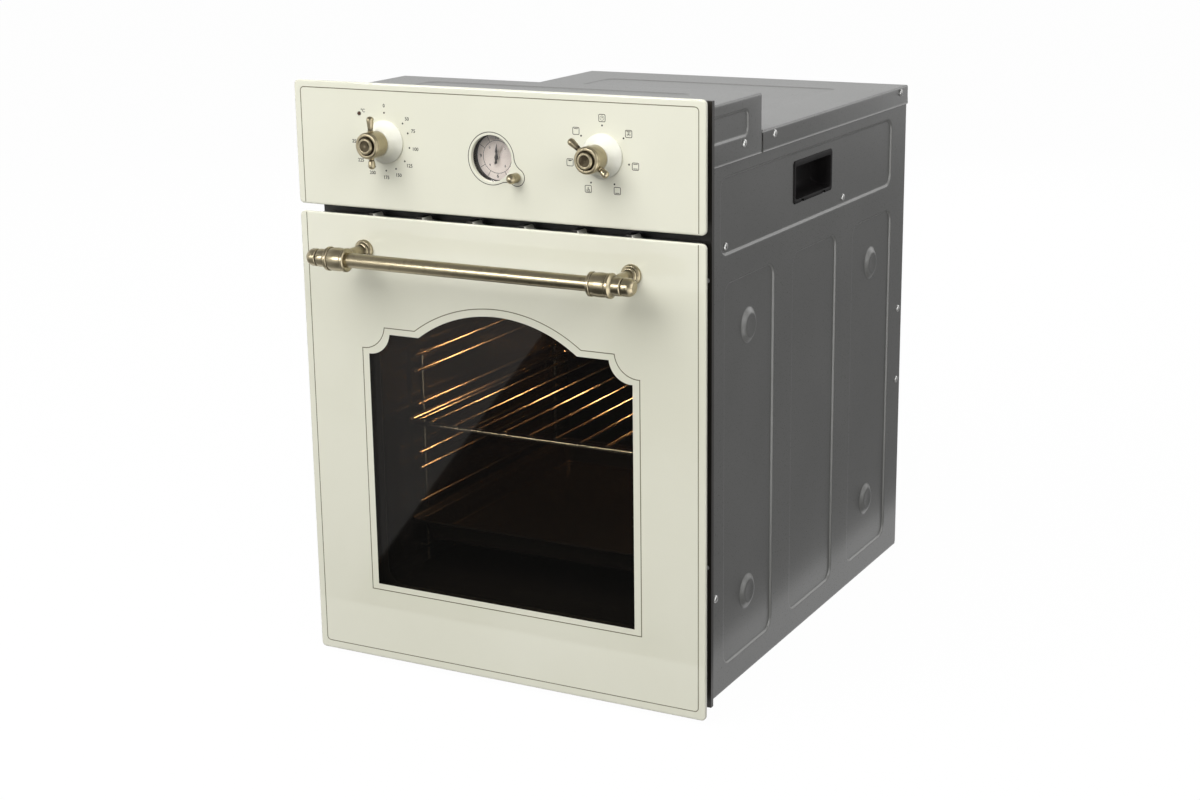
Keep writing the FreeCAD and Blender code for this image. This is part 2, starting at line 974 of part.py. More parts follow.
def bottom_heater():
    rear = back_y + heater_tail
    front = inside(bottom_heater_front)
    half = bottom_heater_half
    return loop_heater([(-half, rear), (-half, front), (half, front), (half, rear)], bottom_heater_z)


# Racks
def rack_ladder():
    """Right-hand wire ladder: pairs of runners on two posts, studded to the cavity wall."""
    front = inside(ladder_front)
    rear = cavity_y1 - ladder_rear
    post_x = cavity_x - ladder_post_inset
    post_z = (ladder_rods[0] - ladder_rod, ladder_rods[-1] + ladder_pair + ladder_rod)
    posts_y = (front + ladder_pair, rear - ladder_pair)
    wires = []
    for z in ladder_rods:
        for rise in (0, ladder_pair):
            wires.append(rod(V(ladder_x, front, z + rise), V(ladder_x, rear, z + rise), ladder_rod))
    for y in posts_y:
        wires.append(rod(V(post_x, y, post_z[0]), V(post_x, y, post_z[1]), ladder_rod))
        for z in (post_z[0] + ladder_pair, post_z[1] - ladder_pair):
            wires.append(rod(V(post_x, y, z), V(cavity_x, y, z), ladder_stud))
    return joined(wires)


def wire_shelf():
    """Frame of thick wire with bars from front to rear."""
    side = ladder_x - shelf_side_shift
    apart = ladder_rod + shelf_rod + rack_slack
    z = ladder_rods[shelf_rung_count] + math.sqrt(apart ** 2 - shelf_side_shift ** 2)
    front = inside(rack_front)
    rear = cavity_y1 - rack_rear
    corners = [V(-side, front, z), V(side, front, z), V(side, rear, z), V(-side, rear, z)]
    wires = [rod(a, b, shelf_rod) for a, b in zip(corners, corners[1:] + corners[:1])]
    wires += [Part.makeSphere(shelf_rod, corner) for corner in corners]
    bar_z = z + shelf_rod + shelf_bar / 2
    for n in range(shelf_bar_count):
        x = (n - (shelf_bar_count - 1) / 2) * shelf_bar_pitch
        wires.append(rod(V(x, front - shelf_rod, bar_z), V(x, rear + shelf_rod, bar_z), shelf_bar))
    return joined(wires)


def baking_tray():
    """Shallow enamelled tray whose flange lies on a pair of runners."""
    z = ladder_rods[tray_rung_count] + ladder_rod + rack_slack
    x = ladder_x + tray_overhang
    y = (inside(rack_front), cavity_y1 - rack_rear)

    def level(inset, height):
        ends_x = (-x + inset, x - inset)
        ends_y = (y[0] + inset, y[1] - inset)
        return rounded(ends_x, ends_y, tray_corner, lambda u, v: V(u, v, height))

    floor = z - tray_depth
    inset = tray_wall_inset
    outer = Part.makeLoft([level(inset, z), level(inset + tray_slope, floor)], True, True)
    top = z + sheet
    inner = Part.makeLoft(
        [level(inset + sheet, top), level(inset + tray_slope + sheet, floor + sheet)], True, True
    )
    flange = flat_plate((-x, x), y, (z, top), tray_corner)
    lip = flat_plate((-x, x), y, (z, top + tray_lip), tray_corner)
    inner_x = x - sheet
    inner_y = (y[0] + sheet, y[1] - sheet)
    lip_z = (z - sheet, top + 2 * tray_lip)
    lip = lip.cut(flat_plate((-inner_x, inner_x), inner_y, lip_z, tray_corner - sheet))
    return joined([outer, flange, lip]).cut(inner).removeSplitter()


# Convection fan
def fan_cover():
    """Shallow dished cover in front of the fan, with a ring of slots."""
    front = cavity_y1 - fan_cover_depth
    centre = V(0, front, fan_z)
    cover = rod(centre, V(0, cavity_y1, fan_z), fan_cover_radius)
    cover = cover.cut(rod(centre + Y * sheet, V(0, back_y, fan_z), fan_cover_radius - sheet))
    slots = []
    for n in range(fan_slots):
        slot = front_plate(
            (-fan_slot_width / 2, fan_slot_width / 2),
            (fan_z + fan_slot_inner, fan_z + fan_slot_inner + fan_slot_length),
            (front - sheet, front + 2 * sheet),
            fan_slot_width * 0.45,
        )
        slots.append(slot.rotated(V(0, 0, fan_z), Y, 360.0 * n / fan_slots))
    return cover.cut(group(slots))


def convection_fan():
    """Disc with upright blades, a hub and its shaft through the back wall."""
    disc_y = cavity_y1 - fan_back_gap
    disc = rod(V(0, disc_y - sheet, fan_z), V(0, disc_y, fan_z), fan_radius)
    front = disc_y - sheet - fan_blade_depth
    hub = rod(V(0, front, fan_z), V(0, disc_y, fan_z), fan_hub)
    shaft = rod(V(0, front, fan_z), V(0, wool_y + motor_plate + motor_insert, fan_z), fan_shaft)
    blades = []
    for n in range(fan_blades):
        blade = box((-sheet, sheet), (front, disc_y), (fan_z + fan_radius / 2, fan_z + fan_radius - sheet))
        blades.append(blade.rotated(V(0, 0, fan_z), Y, 360.0 * n / fan_blades))
    return joined([disc, hub, shaft] + blades)


def convection_motor():
    """Motor on a plate behind the wool, carried on legs from the back wall."""
    half = motor_leg_spacing / 2 + 2 * motor_leg
    y = wool_y + insulation_slack
    plate = front_plate((-half, half), (fan_z - half, fan_z + half), (y, y + motor_plate), 2 * motor_leg)
    body = rod(V(0, y, fan_z), V(0, y + motor_length, fan_z), motor_radius)
    legs = [rod(V(one.x, back_y, one.z), V(one.x, y + motor_plate, one.z), motor_leg) for one in motor_legs()]
    deep = wool_y + motor_plate + motor_insert + shaft_room
    bore = rod(V(0, y - sheet, fan_z), V(0, deep, fan_z), fan_shaft + shaft_slack)
    return joined([plate, body] + legs).cut(bore)


# Oven lamp
def lamp_glass():
    """Domed glass screwed over the bulb."""
    return turned(
        [
            (0, lamp_rim),
            (-lamp_rim_depth, lamp_rim),
            (-lamp_rim_depth, lamp_dome + lamp_wall),
            (-lamp_dome, turned_tip, -0.75 * lamp_dome, 0.75 * lamp_dome),
            (-lamp_dome, 0),
            (lamp_wall - lamp_dome, 0),
            (lamp_wall - lamp_dome, turned_tip),
            (0, lamp_dome, lamp_wall - 0.75 * lamp_dome, 0.72 * lamp_dome),
        ],
        V(lamp_x, cavity_y1, lamp_z),
        Y,
    )


def oven_lamp():
    """Bulb and its holder, through the back wall."""
    centre = V(lamp_x, cavity_y1, lamp_z)
    bulb_front = lamp_dome - lamp_wall - 2 * lamp_slack
    bulb = turned(
        [
            (lamp_bulb, 0),
            (lamp_bulb, lamp_bulb),
            (0, lamp_bulb),
            (-bulb_front, turned_tip, -0.7 * bulb_front, 0.7 * lamp_bulb),
            (-bulb_front, 0),
        ],
        centre,
        Y,
    )
    socket = rod(centre, V(lamp_x, wool_y + heater_tail / 2, lamp_z), lamp_socket)
    rim = rod(V(lamp_x, wool_y, lamp_z), V(lamp_x, wool_y + lamp_wall, lamp_z), lamp_socket + lamp_wall)
    return joined([bulb, socket, rim])


# Thermostat, selector and their knobs
def control_neck(x):
    return rod(V(x, carrier_y - neck_length, knob_z), V(x, frame_face_y, knob_z), neck_radius)


def control_bore(x):
    """Hole for a control shaft."""
    start = V(x, carrier_y - 2 * neck_length, knob_z)
    end = V(x, frame_face_y + shaft_in_control + shaft_room, knob_z)
    return rod(start, end, shaft_radius + shaft_slack)


def thermostat():
    """Thermostat body with its sealed capillary and probe."""
    half = control_size / 2
    body = box(
        (-knob_x - half, -knob_x + half),
        (frame_face_y, frame_face_y + control_depth),
        (knob_z - half, knob_z + half),
    )
    return joined([body, control_neck(-knob_x)] + probe()).cut(control_bore(-knob_x))


def selector_switch():
    start = V(knob_x, frame_face_y, knob_z)
    wafer = rod(start, start + Y * control_depth, control_size / 2)
    half = control_size / 2
    terminals = box(
        (knob_x - half, knob_x + half),
        (frame_face_y + control_depth / 2, frame_face_y + control_depth),
        (knob_z - half / 2, knob_z + half / 2),
    )
    return joined([wafer, terminals, control_neck(knob_x)]).cut(control_bore(knob_x))


def control_shaft(x):
    """Shaft from the knob into its control."""
    front = glass_y - rosette_height - rosette_gap - shaft_in_knob
    return rod(V(x, front, knob_z), V(x, frame_face_y + shaft_in_control, knob_z), shaft_radius)


def probe():
    """Bulb along the cavity wall, and its capillary out through the back and forward to the thermostat."""
    bulb = rod(
        V(probe_x, cavity_y1 - fan_cover_depth - probe_length, probe_z),
        V(probe_x, cavity_y1 - fan_cover_depth, probe_z),
        probe_radius,
    )
    side = -(side_x - capillary_side)
    rear = wool_y + capillary_rear
    high = top_z - capillary_drop
    body_y = frame_face_y + control_depth
    turn_y = body_y + capillary_turn
    tube_line = bent_rod(
        [
            V(probe_x, cavity_y1 - fan_cover_depth - probe_radius, probe_z),
            V(probe_x, rear, probe_z),
            V(side, rear, probe_z),
            V(side, rear, high),
            V(side, turn_y, high),
            V(-knob_x, turn_y, high),
            V(-knob_x, body_y - shaft_room, high),
        ],
        capillary_radius,
        capillary_bend,
    )
    return [bulb, tube_line]


def rosette(x):
    """Cream cone on the panel, behind a knob."""
    return turned(
        [
            (0, rosette_bore),
            (0, rosette_radius),
            (1.6, rosette_radius),
            (2.4, rosette_radius - 0.9),
            (rosette_height, rosette_top, rosette_height / 2, 0.5 * (rosette_radius + rosette_top) - 0.7),
            (rosette_height, rosette_bore),
        ],
        V(x, glass_y, knob_z),
        Y * -1,
    )


def lever(reach):
    """Tapered lever with a rounded end, from the middle of a hub upwards."""
    root = knob_radius - 3 * shaft_slack
    return [
        (root / 2, 0),
        (root / 2, lever_root),
        (root, lever_root),
        (reach - lever_bulb, lever_bulb),
        (reach, turned_tip, reach - lever_bulb * 0.29, lever_bulb * 0.71),
        (reach, 0),
    ]


def lever_knob(x, turn):
    """Brass hub with a stepped face, a long lever and a short one."""
    rear = rosette_height + rosette_gap
    rim = rear + knob_length - knob_cap_proud
    face = rear + knob_length
    centre = V(x, glass_y, knob_z)
    hub = turned(
        [
            (rear, 0),
            (rear, knob_radius - 0.6),
            (rear + 1, knob_radius),
            (rim - 3, knob_radius),
            (rim, knob_radius - 2.2, rim - 0.8, knob_radius - 0.7),
            (rim, knob_cap + 1.8),
            (rim - 1, knob_cap + 1.2),
            (rim - 1, knob_cap + 0.4),
            (face - 0.6, knob_cap),
            (face, knob_cap - 0.7),
            (face, 0),
        ],
        centre,
        Y * -1,
    )
    root = V(x, glass_y - face + lever_from_face, knob_z)
    knob = joined([hub, turned(lever(lever_long), root, Z), turned(lever(lever_short), root, Z * -1)])
    bore_end = V(x, glass_y - rear - shaft_in_knob, knob_z)
    knob = knob.cut(rod(bore_end, V(x, glass_y, knob_z), shaft_radius + shaft_slack))
    return knob.rotated(V(x, 0, knob_z), Y, turn)


# Control panel
def control_panel():
    """Cream glass panel with holes for the shafts, the clock, its knob and the pilot lamp."""
    half = front_width / 2
    y = (glass_y, behind(glass))
    panel = front_plate((-half, half), (panel_z0, panel_z1), y, glass_corner)

    def hole(x, z, radius):
        return rod(V(x, glass_y - glass, z), V(x, behind(2 * glass), z), radius)

    holes = [hole(x, knob_z, panel_hole) for x in (-knob_x, knob_x)]
    holes.append(hole(0, clock_z, clock_hole))
    holes.append(hole(clock_knob_x, clock_knob_z, clock_stem_hole))
    holes.append(hole(-pilot_x, panel_z0 + pilot_rise, pilot_radius + pilot_slack))
    return panel.cut(group(holes))


def panel_carrier():
    """Black tray behind the glass; the thermostat, the selector and the clock sit in its back."""
    x = front_width / 2 - carrier_inset
    z = (panel_z0 + carrier_margin, panel_z1 - carrier_margin)
    tray = front_plate((-x, x), z, (behind(glass), frame_face_y), glass_corner)
    inner_x = x - carrier_wall
    inner_z = (z[0] + carrier_wall, z[1] - carrier_wall)
    inner_corner = glass_corner - carrier_wall
    tray = tray.cut(front_plate((-inner_x, inner_x), inner_z, (glass_y, carrier_y), inner_corner))

    def hole(x, z, radius):
        return rod(V(x, carrier_y - sheet, z), V(x, frame_face_y + sheet, z), radius)

    holes = [hole(x, knob_z, neck_radius + neck_slack) for x in (-knob_x, knob_x)]
    holes.append(hole(0, clock_z, clock_case_radius + neck_slack))
    holes.append(hole(clock_knob_x, clock_knob_z, clock_lobe + neck_slack))
    return tray.cut(group(holes))


def pilot_lamp():
    centre = V(-pilot_x, glass_y, panel_z0 + pilot_rise)
    return turned(
        [
            (-pilot_proud, 0),
            (-pilot_proud, pilot_radius - 0.3),
            (-pilot_proud + 0.3, pilot_radius),
            (glass, pilot_radius),
            (glass, pilot_body),
            (carrier_y - glass_y, pilot_body),
            (carrier_y - glass_y, 0),
        ],
        centre,
        Y,
    )


# Clock
def clock_case():
    """Movement case with a recessed well for the dial and a lobe for the setting stem."""
    well = clock_hole + clock_slack
    case_end = case_y + clock_case_depth
    front = V(0, behind(glass), clock_z)
    rim = rod(front, V(0, case_y, clock_z), well + clock_wall)
    body = rod(V(0, case_y - clock_wall, clock_z), V(0, case_end, clock_z), clock_case_radius)
    flange_y = (frame_face_y, frame_face_y + clock_flange_thickness)
    flange = rod(V(0, flange_y[0], clock_z), V(0, flange_y[1], clock_z), clock_case_radius + clock_flange)
    stem = V(clock_knob_x, case_y, clock_knob_z)
    lobe = Part.makeCylinder(clock_lobe, case_end - case_y, stem, Y)
    case = joined([rim, body, flange, lobe])
    hollow = rod(V(0, glass_y, clock_z), V(0, case_y, clock_z), well)
    stem_depth = behind(clock_stem_depth) + shaft_room - case_y
    stem_bore = Part.makeCylinder(clock_stem + shaft_slack, stem_depth, stem, Y)
    arbor_end = V(0, case_y + arbor_depth + shaft_room, clock_z)
    arbor_bore = rod(V(0, glass_y, clock_z), arbor_end, arbor_outer(2) + arbor_slack)
    return case.cut(group([hollow, stem_bore])).cut(arbor_bore)


def arbor_outer(n):
    """Outer radius of the nested arbors: minute hand, hour hand, alarm hand."""
    return arbor_radius + n * (arbor_wall + arbor_slack)


def clock_dial():
    disc = rod(V(0, dial_y, clock_z), V(0, case_y, clock_z), clock_hole)
    hole_radius = arbor_outer(2) + 3 * arbor_slack
    return disc.cut(rod(V(0, glass_y, clock_z), V(0, case_y + sheet, clock_z), hole_radius))


def clock_lens():
    front = behind(lens_depth)
    return rod(V(0, front, clock_z), V(0, front + lens_thickness, clock_z), clock_hole)


def hand(order, length, tail, width, angle):
    """Clock hand on its arbor; order 0 is the one nearest the lens."""
    top = dial_y - hand_first_gap - (2 - order) * hand_pitch - hand_thickness
    y = (top, top + hand_thickness)
    blade_points = [
        V(-width * 0.3, top, clock_z - tail),
        V(width * 0.3, top, clock_z - tail),
        V(width * 0.5, top, clock_z),
        V(width * 0.2, top, clock_z + length),
        V(-width * 0.2, top, clock_z + length),
        V(-width * 0.5, top, clock_z),
    ]
    blade = Part.Face(Part.makePolygon(blade_points + blade_points[:1])).extrude(V(0, hand_thickness, 0))
    outer = arbor_outer(order)
    arbor_end = case_y + arbor_depth
    boss = rod(V(0, y[0], clock_z), V(0, y[1], clock_z), outer + arbor_wall)
    arbor = rod(V(0, y[0], clock_z), V(0, arbor_end, clock_z), outer)
    shape = joined([blade, boss, arbor])
    if order:
        inner = arbor_outer(order - 1) + arbor_slack
        shape = shape.cut(rod(V(0, glass_y, clock_z), V(0, arbor_end + sheet, clock_z), inner))
    return shape.rotated(V(0, 0, clock_z), Y, angle)


def minute_hand():
    return hand(0, minute_length, minute_tail, minute_width, minute_angle)


def hour_hand():
    return hand(1, hour_length, hour_tail, hour_width, hour_angle)


def alarm_hand():
    return hand(2, alarm_length, alarm_tail, alarm_width, alarm_angle)


def clock_knob():
    """Setting knob with its stem."""
    start = clock_knob_gap
    end = clock_knob_gap + clock_knob_length
    radius = clock_knob_radius
    return turned(
        [
            (-clock_stem_depth, 0),
            (-clock_stem_depth, clock_stem),
            (start, clock_stem),
            (start, radius - 0.6),
            (start + 0.8, radius),
            (end - radius, radius),
            (end, turned_tip, end - radius * 0.29, radius * 0.71),
            (end, 0),
        ],
        V(clock_knob_x, glass_y, clock_knob_z),
        Y * -1,
    )


# Door
def door_outer_glass():
    half = front_width / 2
    pane = front_plate((-half, half), (door_z0, door_z1), (glass_y, behind(glass)), glass_corner)
    hole = rod(V(handle_x, glass_y - glass, handle_z), V(handle_x, behind(2 * glass), handle_z), handle_hole)
    return pane.cut(pair(hole))


def window_outline(y):
    """Arched window with a flat shoulder and a scooped notch at each upper corner."""
    x = window_width / 2
    low = door_z0 + window_rise
    shoulder = low + window_shoulder
    notch_x = x - window_notch
    notch_z = shoulder - window_notch_drop
    arch_x = window_arch_width / 2
    scoop_x = x - window_notch * 0.7
    scoop_z = shoulder - window_notch_drop * 0.7

    def at(u, v):
        return V(u, y, v)

    top = at(0, shoulder + window_arch_rise)
    edges = [
        Part.LineSegment(at(-x, low), at(x, low)),
        Part.LineSegment(at(x, low), at(x, notch_z)),
        Part.Arc(at(x, notch_z), at(scoop_x, scoop_z), at(notch_x, shoulder)),
        Part.LineSegment(at(notch_x, shoulder), at(arch_x, shoulder)),
        Part.Arc(at(arch_x, shoulder), top, at(-arch_x, shoulder)),
        Part.LineSegment(at(-arch_x, shoulder), at(-notch_x, shoulder)),
        Part.Arc(at(-notch_x, shoulder), at(-scoop_x, scoop_z), at(-x, notch_z)),
        Part.LineSegment(at(-x, notch_z), at(-x, low)),
    ]
    return Part.Wire([edge.toShape() for edge in edges])


def door_enamel():
    """Fired cream print on the back of the outer glass, with the window left clear."""
    half = front_width / 2
    y = (behind(glass), behind(glass + enamel))
    layer = front_plate((-half, half), (door_z0, door_z1), y, glass_corner)
    window = Part.Face(window_outline(glass_y)).extrude(V(0, 3 * glass, 0))
    centre = V(handle_x, glass_y, handle_z)
    hole = Part.makeCylinder(handle_screw_head + sheet, 2 * glass, centre, Y)
    return layer.cut(window).cut(pair(hole))


def door_inner_x():
    return front_width / 2 - door_frame_inset


def door_frame():
    """Black pan behind the outer glass, open at the top for the rail and cut for the hinge arms."""
    x = door_inner_x()
    z = (door_z0 + door_frame_bottom, door_z1 - door_frame_top)
    front = behind(glass + enamel)
    pan = box((-x, x), (front, door_frame_y), z)
    hollow_z = (z[0] + sheet, z[1] + sheet)
    pan = pan.cut(box((-x + sheet, x - sheet), (front - sheet, door_frame_y - sheet), hollow_z))
    window_x = x - door_window_side
    window_z = (z[0] + door_window_bottom, z[1] - door_window_top)
    through = (door_frame_y - 2 * sheet, door_frame_y + sheet)
    window = front_plate((-window_x, window_x), window_z, through, cavity_corner)
    half = channel_width / 2 - channel_wall
    arm = box((hinge_x - half, hinge_x + half), (front, door_frame_y + sheet), (0, pivot_z + web_clear))
    return pan.cut(group([window, arm, mirrored(arm)]))


def inner_glass_edges():
    x = door_inner_x() - door_window_side + inner_glass_lap
    low = door_z0 + door_frame_bottom + door_window_bottom - inner_glass_lap
    high = door_z1 - door_frame_top - door_window_top + inner_glass_lap
    return x, low, high


def door_inner_glass():
    x, low, high = inner_glass_edges()
    return front_plate((-x, x), (low, high), (door_frame_y, inner_glass_y), glass_corner)


def glass_clips():
    """Four hooks that hold the inner glass to the pan, above and below it."""
    x, low, high = inner_glass_edges()
    clips = []
    for edge, out in ((low, -1), (high, 1)):
        foot = box(
            (x - clip_width, x),
            (door_frame_y, inner_glass_y + clip_thickness),
            (edge + out * seal_slack, edge + out * (seal_slack + clip_lap)),
        )
        hook = box(
            (x - clip_width, x),
            (inner_glass_y, inner_glass_y + clip_thickness),
            (edge - out * clip_lap, edge + out * clip_lap),
        )
        clips.append(joined([foot, hook]))
    return group(clips + [mirrored(clip) for clip in clips])


def door_top_rail():
    """Slotted rail that closes the top of the door and lets its air out."""
    x = door_inner_x() - sheet
    top = door_z1 - door_frame_top
    front = behind(glass + enamel)
    rear = door_frame_y - sheet
    rail = box((-x, x), (front, rear), (top - rail_lip, top))
    rail = rail.cut(box((-x, x), (front + sheet, rear - sheet), (top - 2 * rail_lip, top - sheet)))
    slots = []
    slot_y = (front + rail_slot_margin, rear - rail_slot_margin)
    radius = (slot_y[1] - slot_y[0]) * 0.45
    for n in range(rail_slots):
        centre = (n - (rail_slots - 1) / 2) * rail_slot_pitch
        ends = (centre - rail_slot_length / 2, centre + rail_slot_length / 2)
        slots.append(flat_plate(ends, slot_y, (top - 2 * sheet, top + sheet), radius))
    return rail.cut(group(slots))


# Hinges
def hinge_arm():
    """Right-hand arm: an eye on the door's pin, a lug for the spring and a hook in the receiver."""
    x = (hinge_x - arm_thickness / 2, hinge_x + arm_thickness / 2)
    half = arm_height / 2
    end = inside(arm_reach)
    hook_y = frame_face_y + sheet + receiver_bar + arm_slack
    pivot = V(x[0], pivot_y, pivot_z)
    eye = Part.makeCylinder(arm_eye, arm_thickness, pivot, X)
    bar = box(x, (pivot_y, end), (pivot_z - half, pivot_z + half))
    hook = box(x, (hook_y, hook_y + arm_hook_length), (pivot_z - half - arm_hook, pivot_z))
    lug = box(x, (pivot_y, pivot_y + arm_lug_width), (pivot_z, pivot_z + arm_lug))
    hole = Part.makeCylinder(pin_radius + pin_slack, arm_thickness, pivot, X)
    return joined([eye, bar, hook, lug]).cut(hole)


def hinge_receiver():
    """Right-hand socket behind the front frame: two cheeks with a bar that the hook drops behind."""
    half = receiver_width / 2
    y = (frame_face_y + sheet, frame_face_y + sheet + receiver_length)
    low = pivot_z - arm_height / 2 - arm_hook
    high = pivot_z + arm_height / 2 + receiver_rise
    gap = arm_thickness / 2 + arm_slack
    block = box((hinge_x - half, hinge_x + half), y, (low, high))
    groove_top = pivot_z + arm_height / 2 + arm_slack
    groove = box((hinge_x - gap, hinge_x + gap), (y[0] - sheet, y[1] + sheet), (low - sheet, groove_top))
    bar_top = pivot_z - arm_height / 2 - pin_slack
    bar = box((hinge_x - half, hinge_x + half), (y[0], y[0] + receiver_bar), (low, bar_top))
    return joined([block.cut(groove), bar])


def hinge_channel():
    """Right-hand channel in the door, with the pin riveted in it and a cross pin for the spring."""
    half = channel_width / 2
    z = (pivot_z - channel_rise, pivot_z - channel_rise + channel_length)
    y = (behind(glass + enamel + channel_gap), door_frame_y - sheet - seal_slack)
    block = box((hinge_x - half, hinge_x + half), y, z)
    inner_x = (hinge_x - half + channel_wall, hinge_x + half - channel_wall)
    groove = box(inner_x, (y[0] + channel_wall, y[1] + sheet), (z[0] - sheet, z[1] + sheet))
    relief = box(inner_x, (y[0] - sheet, y[1]), (z[0] - sheet, pivot_z + web_clear))
    anchor_z = pivot_z + arm_lug + spring_link + spring_length + 2 * spring_gap + anchor_radius
    anchor_end = V(hinge_x - half, behind(spring_depth), anchor_z)
    anchor = Part.makeCylinder(anchor_radius, channel_width, anchor_end, X)
    pin = Part.makeCylinder(pin_radius, channel_width, V(hinge_x - half, pivot_y, pivot_z), X)
    return joined([block.cut(groove).cut(relief), anchor, pin])


def hinge_spring():
    """Right-hand counterbalance spring, as a sleeve, with its link rod down to the arm."""
    link_z = pivot_z + arm_lug + spring_gap
    coil_z = link_z + spring_link
    y = behind(spring_depth)
    coil = rod(V(hinge_x, y, coil_z), V(hinge_x, y, coil_z + spring_length), spring_radius)
    link = rod(V(hinge_x, y, link_z), V(hinge_x, y, coil_z + spring_radius), spring_rod)
    hollow = rod(
        V(hinge_x, y, coil_z + spring_radius),
        V(hinge_x, y, coil_z + spring_length + sheet),
        spring_radius - spring_rod,
    )
    return joined([coil.cut(hollow), link])


# Handle
def handle_bar():
    half = cap_inner + bar_seat
    bar = rod(V(-half, bar_y, handle_z), V(half, bar_y, handle_z), bar_radius)
    return bar.cut(rod(V(-half, bar_y, handle_z), V(half, bar_y, handle_z), bar_radius - bar_wall))


def handle_cap():
    """Right-hand turned cap: collar, barrel, collar, neck and end button."""
    seat = bar_radius + bar_slack
    end = cap_length
    barrel = cap_radius - 1.2 * cap_step
    cap = turned(
        [
            (0, seat),
            (0, cap_radius - 2 * cap_step),
            (cap_step, cap_radius - cap_step / 4),
            (cap_ring, cap_radius - cap_step / 4),
            (cap_ring + cap_step, barrel),
            (cap_barrel, barrel, (cap_ring + cap_barrel) / 2, cap_radius - cap_step / 2),
            (cap_barrel + cap_step, cap_radius),
            (cap_collar, cap_radius),
            (cap_collar + cap_step, cap_radius - 2 * cap_step),
            (cap_shoulder, cap_neck),
            (cap_groove, cap_neck),
            (cap_groove + cap_step, cap_neck - 1.5 * cap_step),
            (cap_groove + 2 * cap_step, cap_neck - 1.5 * cap_step),
            (cap_groove + 3 * cap_step, cap_neck),
            (end - cap_button, cap_neck),
            (end - cap_step, cap_neck - 3 * cap_step, end - cap_button / 2, cap_neck - cap_step),
            (end, cap_neck - 4 * cap_step),
            (end, 0),
            (bar_seat, 0),
            (bar_seat, seat),
        ],
        V(cap_inner, bar_y, handle_z),
        X,
    )
    start = V(handle_x, bar_y + post_end, handle_z)
    return cap.cut(Part.makeCylinder(post_radius + post_slack, handle_reach, start, Y))


def handle_post():
    """Right-hand post: a rosette on the glass and a round arm into the cap."""
    height = post_rosette_height
    arm_end = handle_reach - post_end
    post = turned(
        [
            (0, 0),
            (0, post_rosette - 0.2),
            (0.24 * height, post_rosette),
            (0.5 * height, post_rosette - 1.8, 0.42 * height, post_rosette - 0.5),
            (0.6 * height, post_rosette - 2.8),
            (0.74 * height, post_rosette - 2.4),
            (0.9 * height, post_rosette - 3.8, 0.86 * height, post_rosette - 2.9),
            (height, post_radius),
            (arm_end, post_radius),
            (arm_end, 0),
        ],
        V(handle_x, glass_y, handle_z),
        Y * -1,
    )
    depth = handle_screw_length + shaft_room - glass
    start = V(handle_x, glass_y - depth, handle_z)
    return post.cut(Part.makeCylinder(handle_screw + handle_screw_slack, depth, start, Y))


def handle_screw_solid():
    """Right-hand screw from inside the door into the post."""
    seat = behind(glass)
    return turned(
        [
            (-handle_screw_length, 0),
            (-handle_screw_length, handle_screw),
            (0, handle_screw),
            (0, handle_screw_head),
            (handle_screw_head_height, handle_screw_head - 0.6),
            (handle_screw_head_height, 0),
        ],
        V(handle_x, seat, handle_z),
        Y,
    )


# Cooling blower
def air_guide():
    """Plate over the wool that leads the cooling air forward."""
    x = side_x - sheet - press_depth
    y = (inside(guide_front), cavity_y1 - guide_rear)
    plate = box((-x, x), y, (guide_z, guide_z + sheet))
    flange = box((x - sheet, x), y, (guide_z, guide_z + guide_flange))
    return drilled(joined([plate, flange, mirrored(flange)]))


def blower_sizes():
    """Centre height and outer radius of the blower housing, from the room above the air guide."""
    low = guide_z + sheet
    high = top_z - sheet - press_depth - sheet - blower_top_gap
    return (low + high) / 2, (high - low) / 2


def blower_drum():
    """Radius of the blower fan."""
    return blower_sizes()[1] - blower_wall - blower_gap


def blower_housing():
    """Scroll round the blower fan, open to the front at its foot, with an end wall on each side."""
    z, outer = blower_sizes()
    y = inside(blower_depth)
    half = blower_length / 2
    end_x = (-half, half)
    inner = outer - blower_wall
    mouth_y = y - outer - blower_mouth
    scroll = rod(V(-half, y, z), V(half, y, z), outer)
    foot = box(end_x, (mouth_y, y), (z - outer, z))
    hollow = rod(V(-half + blower_wall, y, z), V(half - blower_wall, y, z), inner)
    duct_x = (-half + blower_wall, half - blower_wall)
    duct = box(duct_x, (mouth_y - sheet, y), (z - inner, z - blower_wall))
    shell = scroll.fuse(foot).cut(hollow).cut(duct)
    inlet = box(duct_x, (y - outer - sheet, y - inner / 2), (z, z + inner / 2))
    bore = rod(V(-half - sheet, y, z), V(half + sheet, y, z), blower_shaft + shaft_slack)
    return shell.cut(inlet).cut(bore).removeSplitter()


def cooling_fan():
    """Drum of long blades between discs, on a shaft that runs in the end walls."""
    z = blower_sizes()[0]
    y = inside(blower_depth)
    radius = blower_drum()
    half = blower_length / 2
    reach = half - blower_wall - blower_end_gap
    shaft_end = half + blower_motor_gap + blower_motor_length / 2
    parts = [rod(V(-half, y, z), V(shaft_end, y, z), blower_shaft)]
    for x in (-reach, -blower_disc / 2, reach - blower_disc):
        parts.append(rod(V(x, y, z), V(x + blower_disc, y, z), radius))
    blade_z = (z + radius - blower_blade_width, z + radius - sheet / 2)
    for n in range(blower_blades):
        blade = box((-reach, reach), (y, y + blower_blade), blade_z)
        parts.append(blade.rotated(V(0, y, z), X, 360.0 * n / blower_blades))
    return joined(parts)


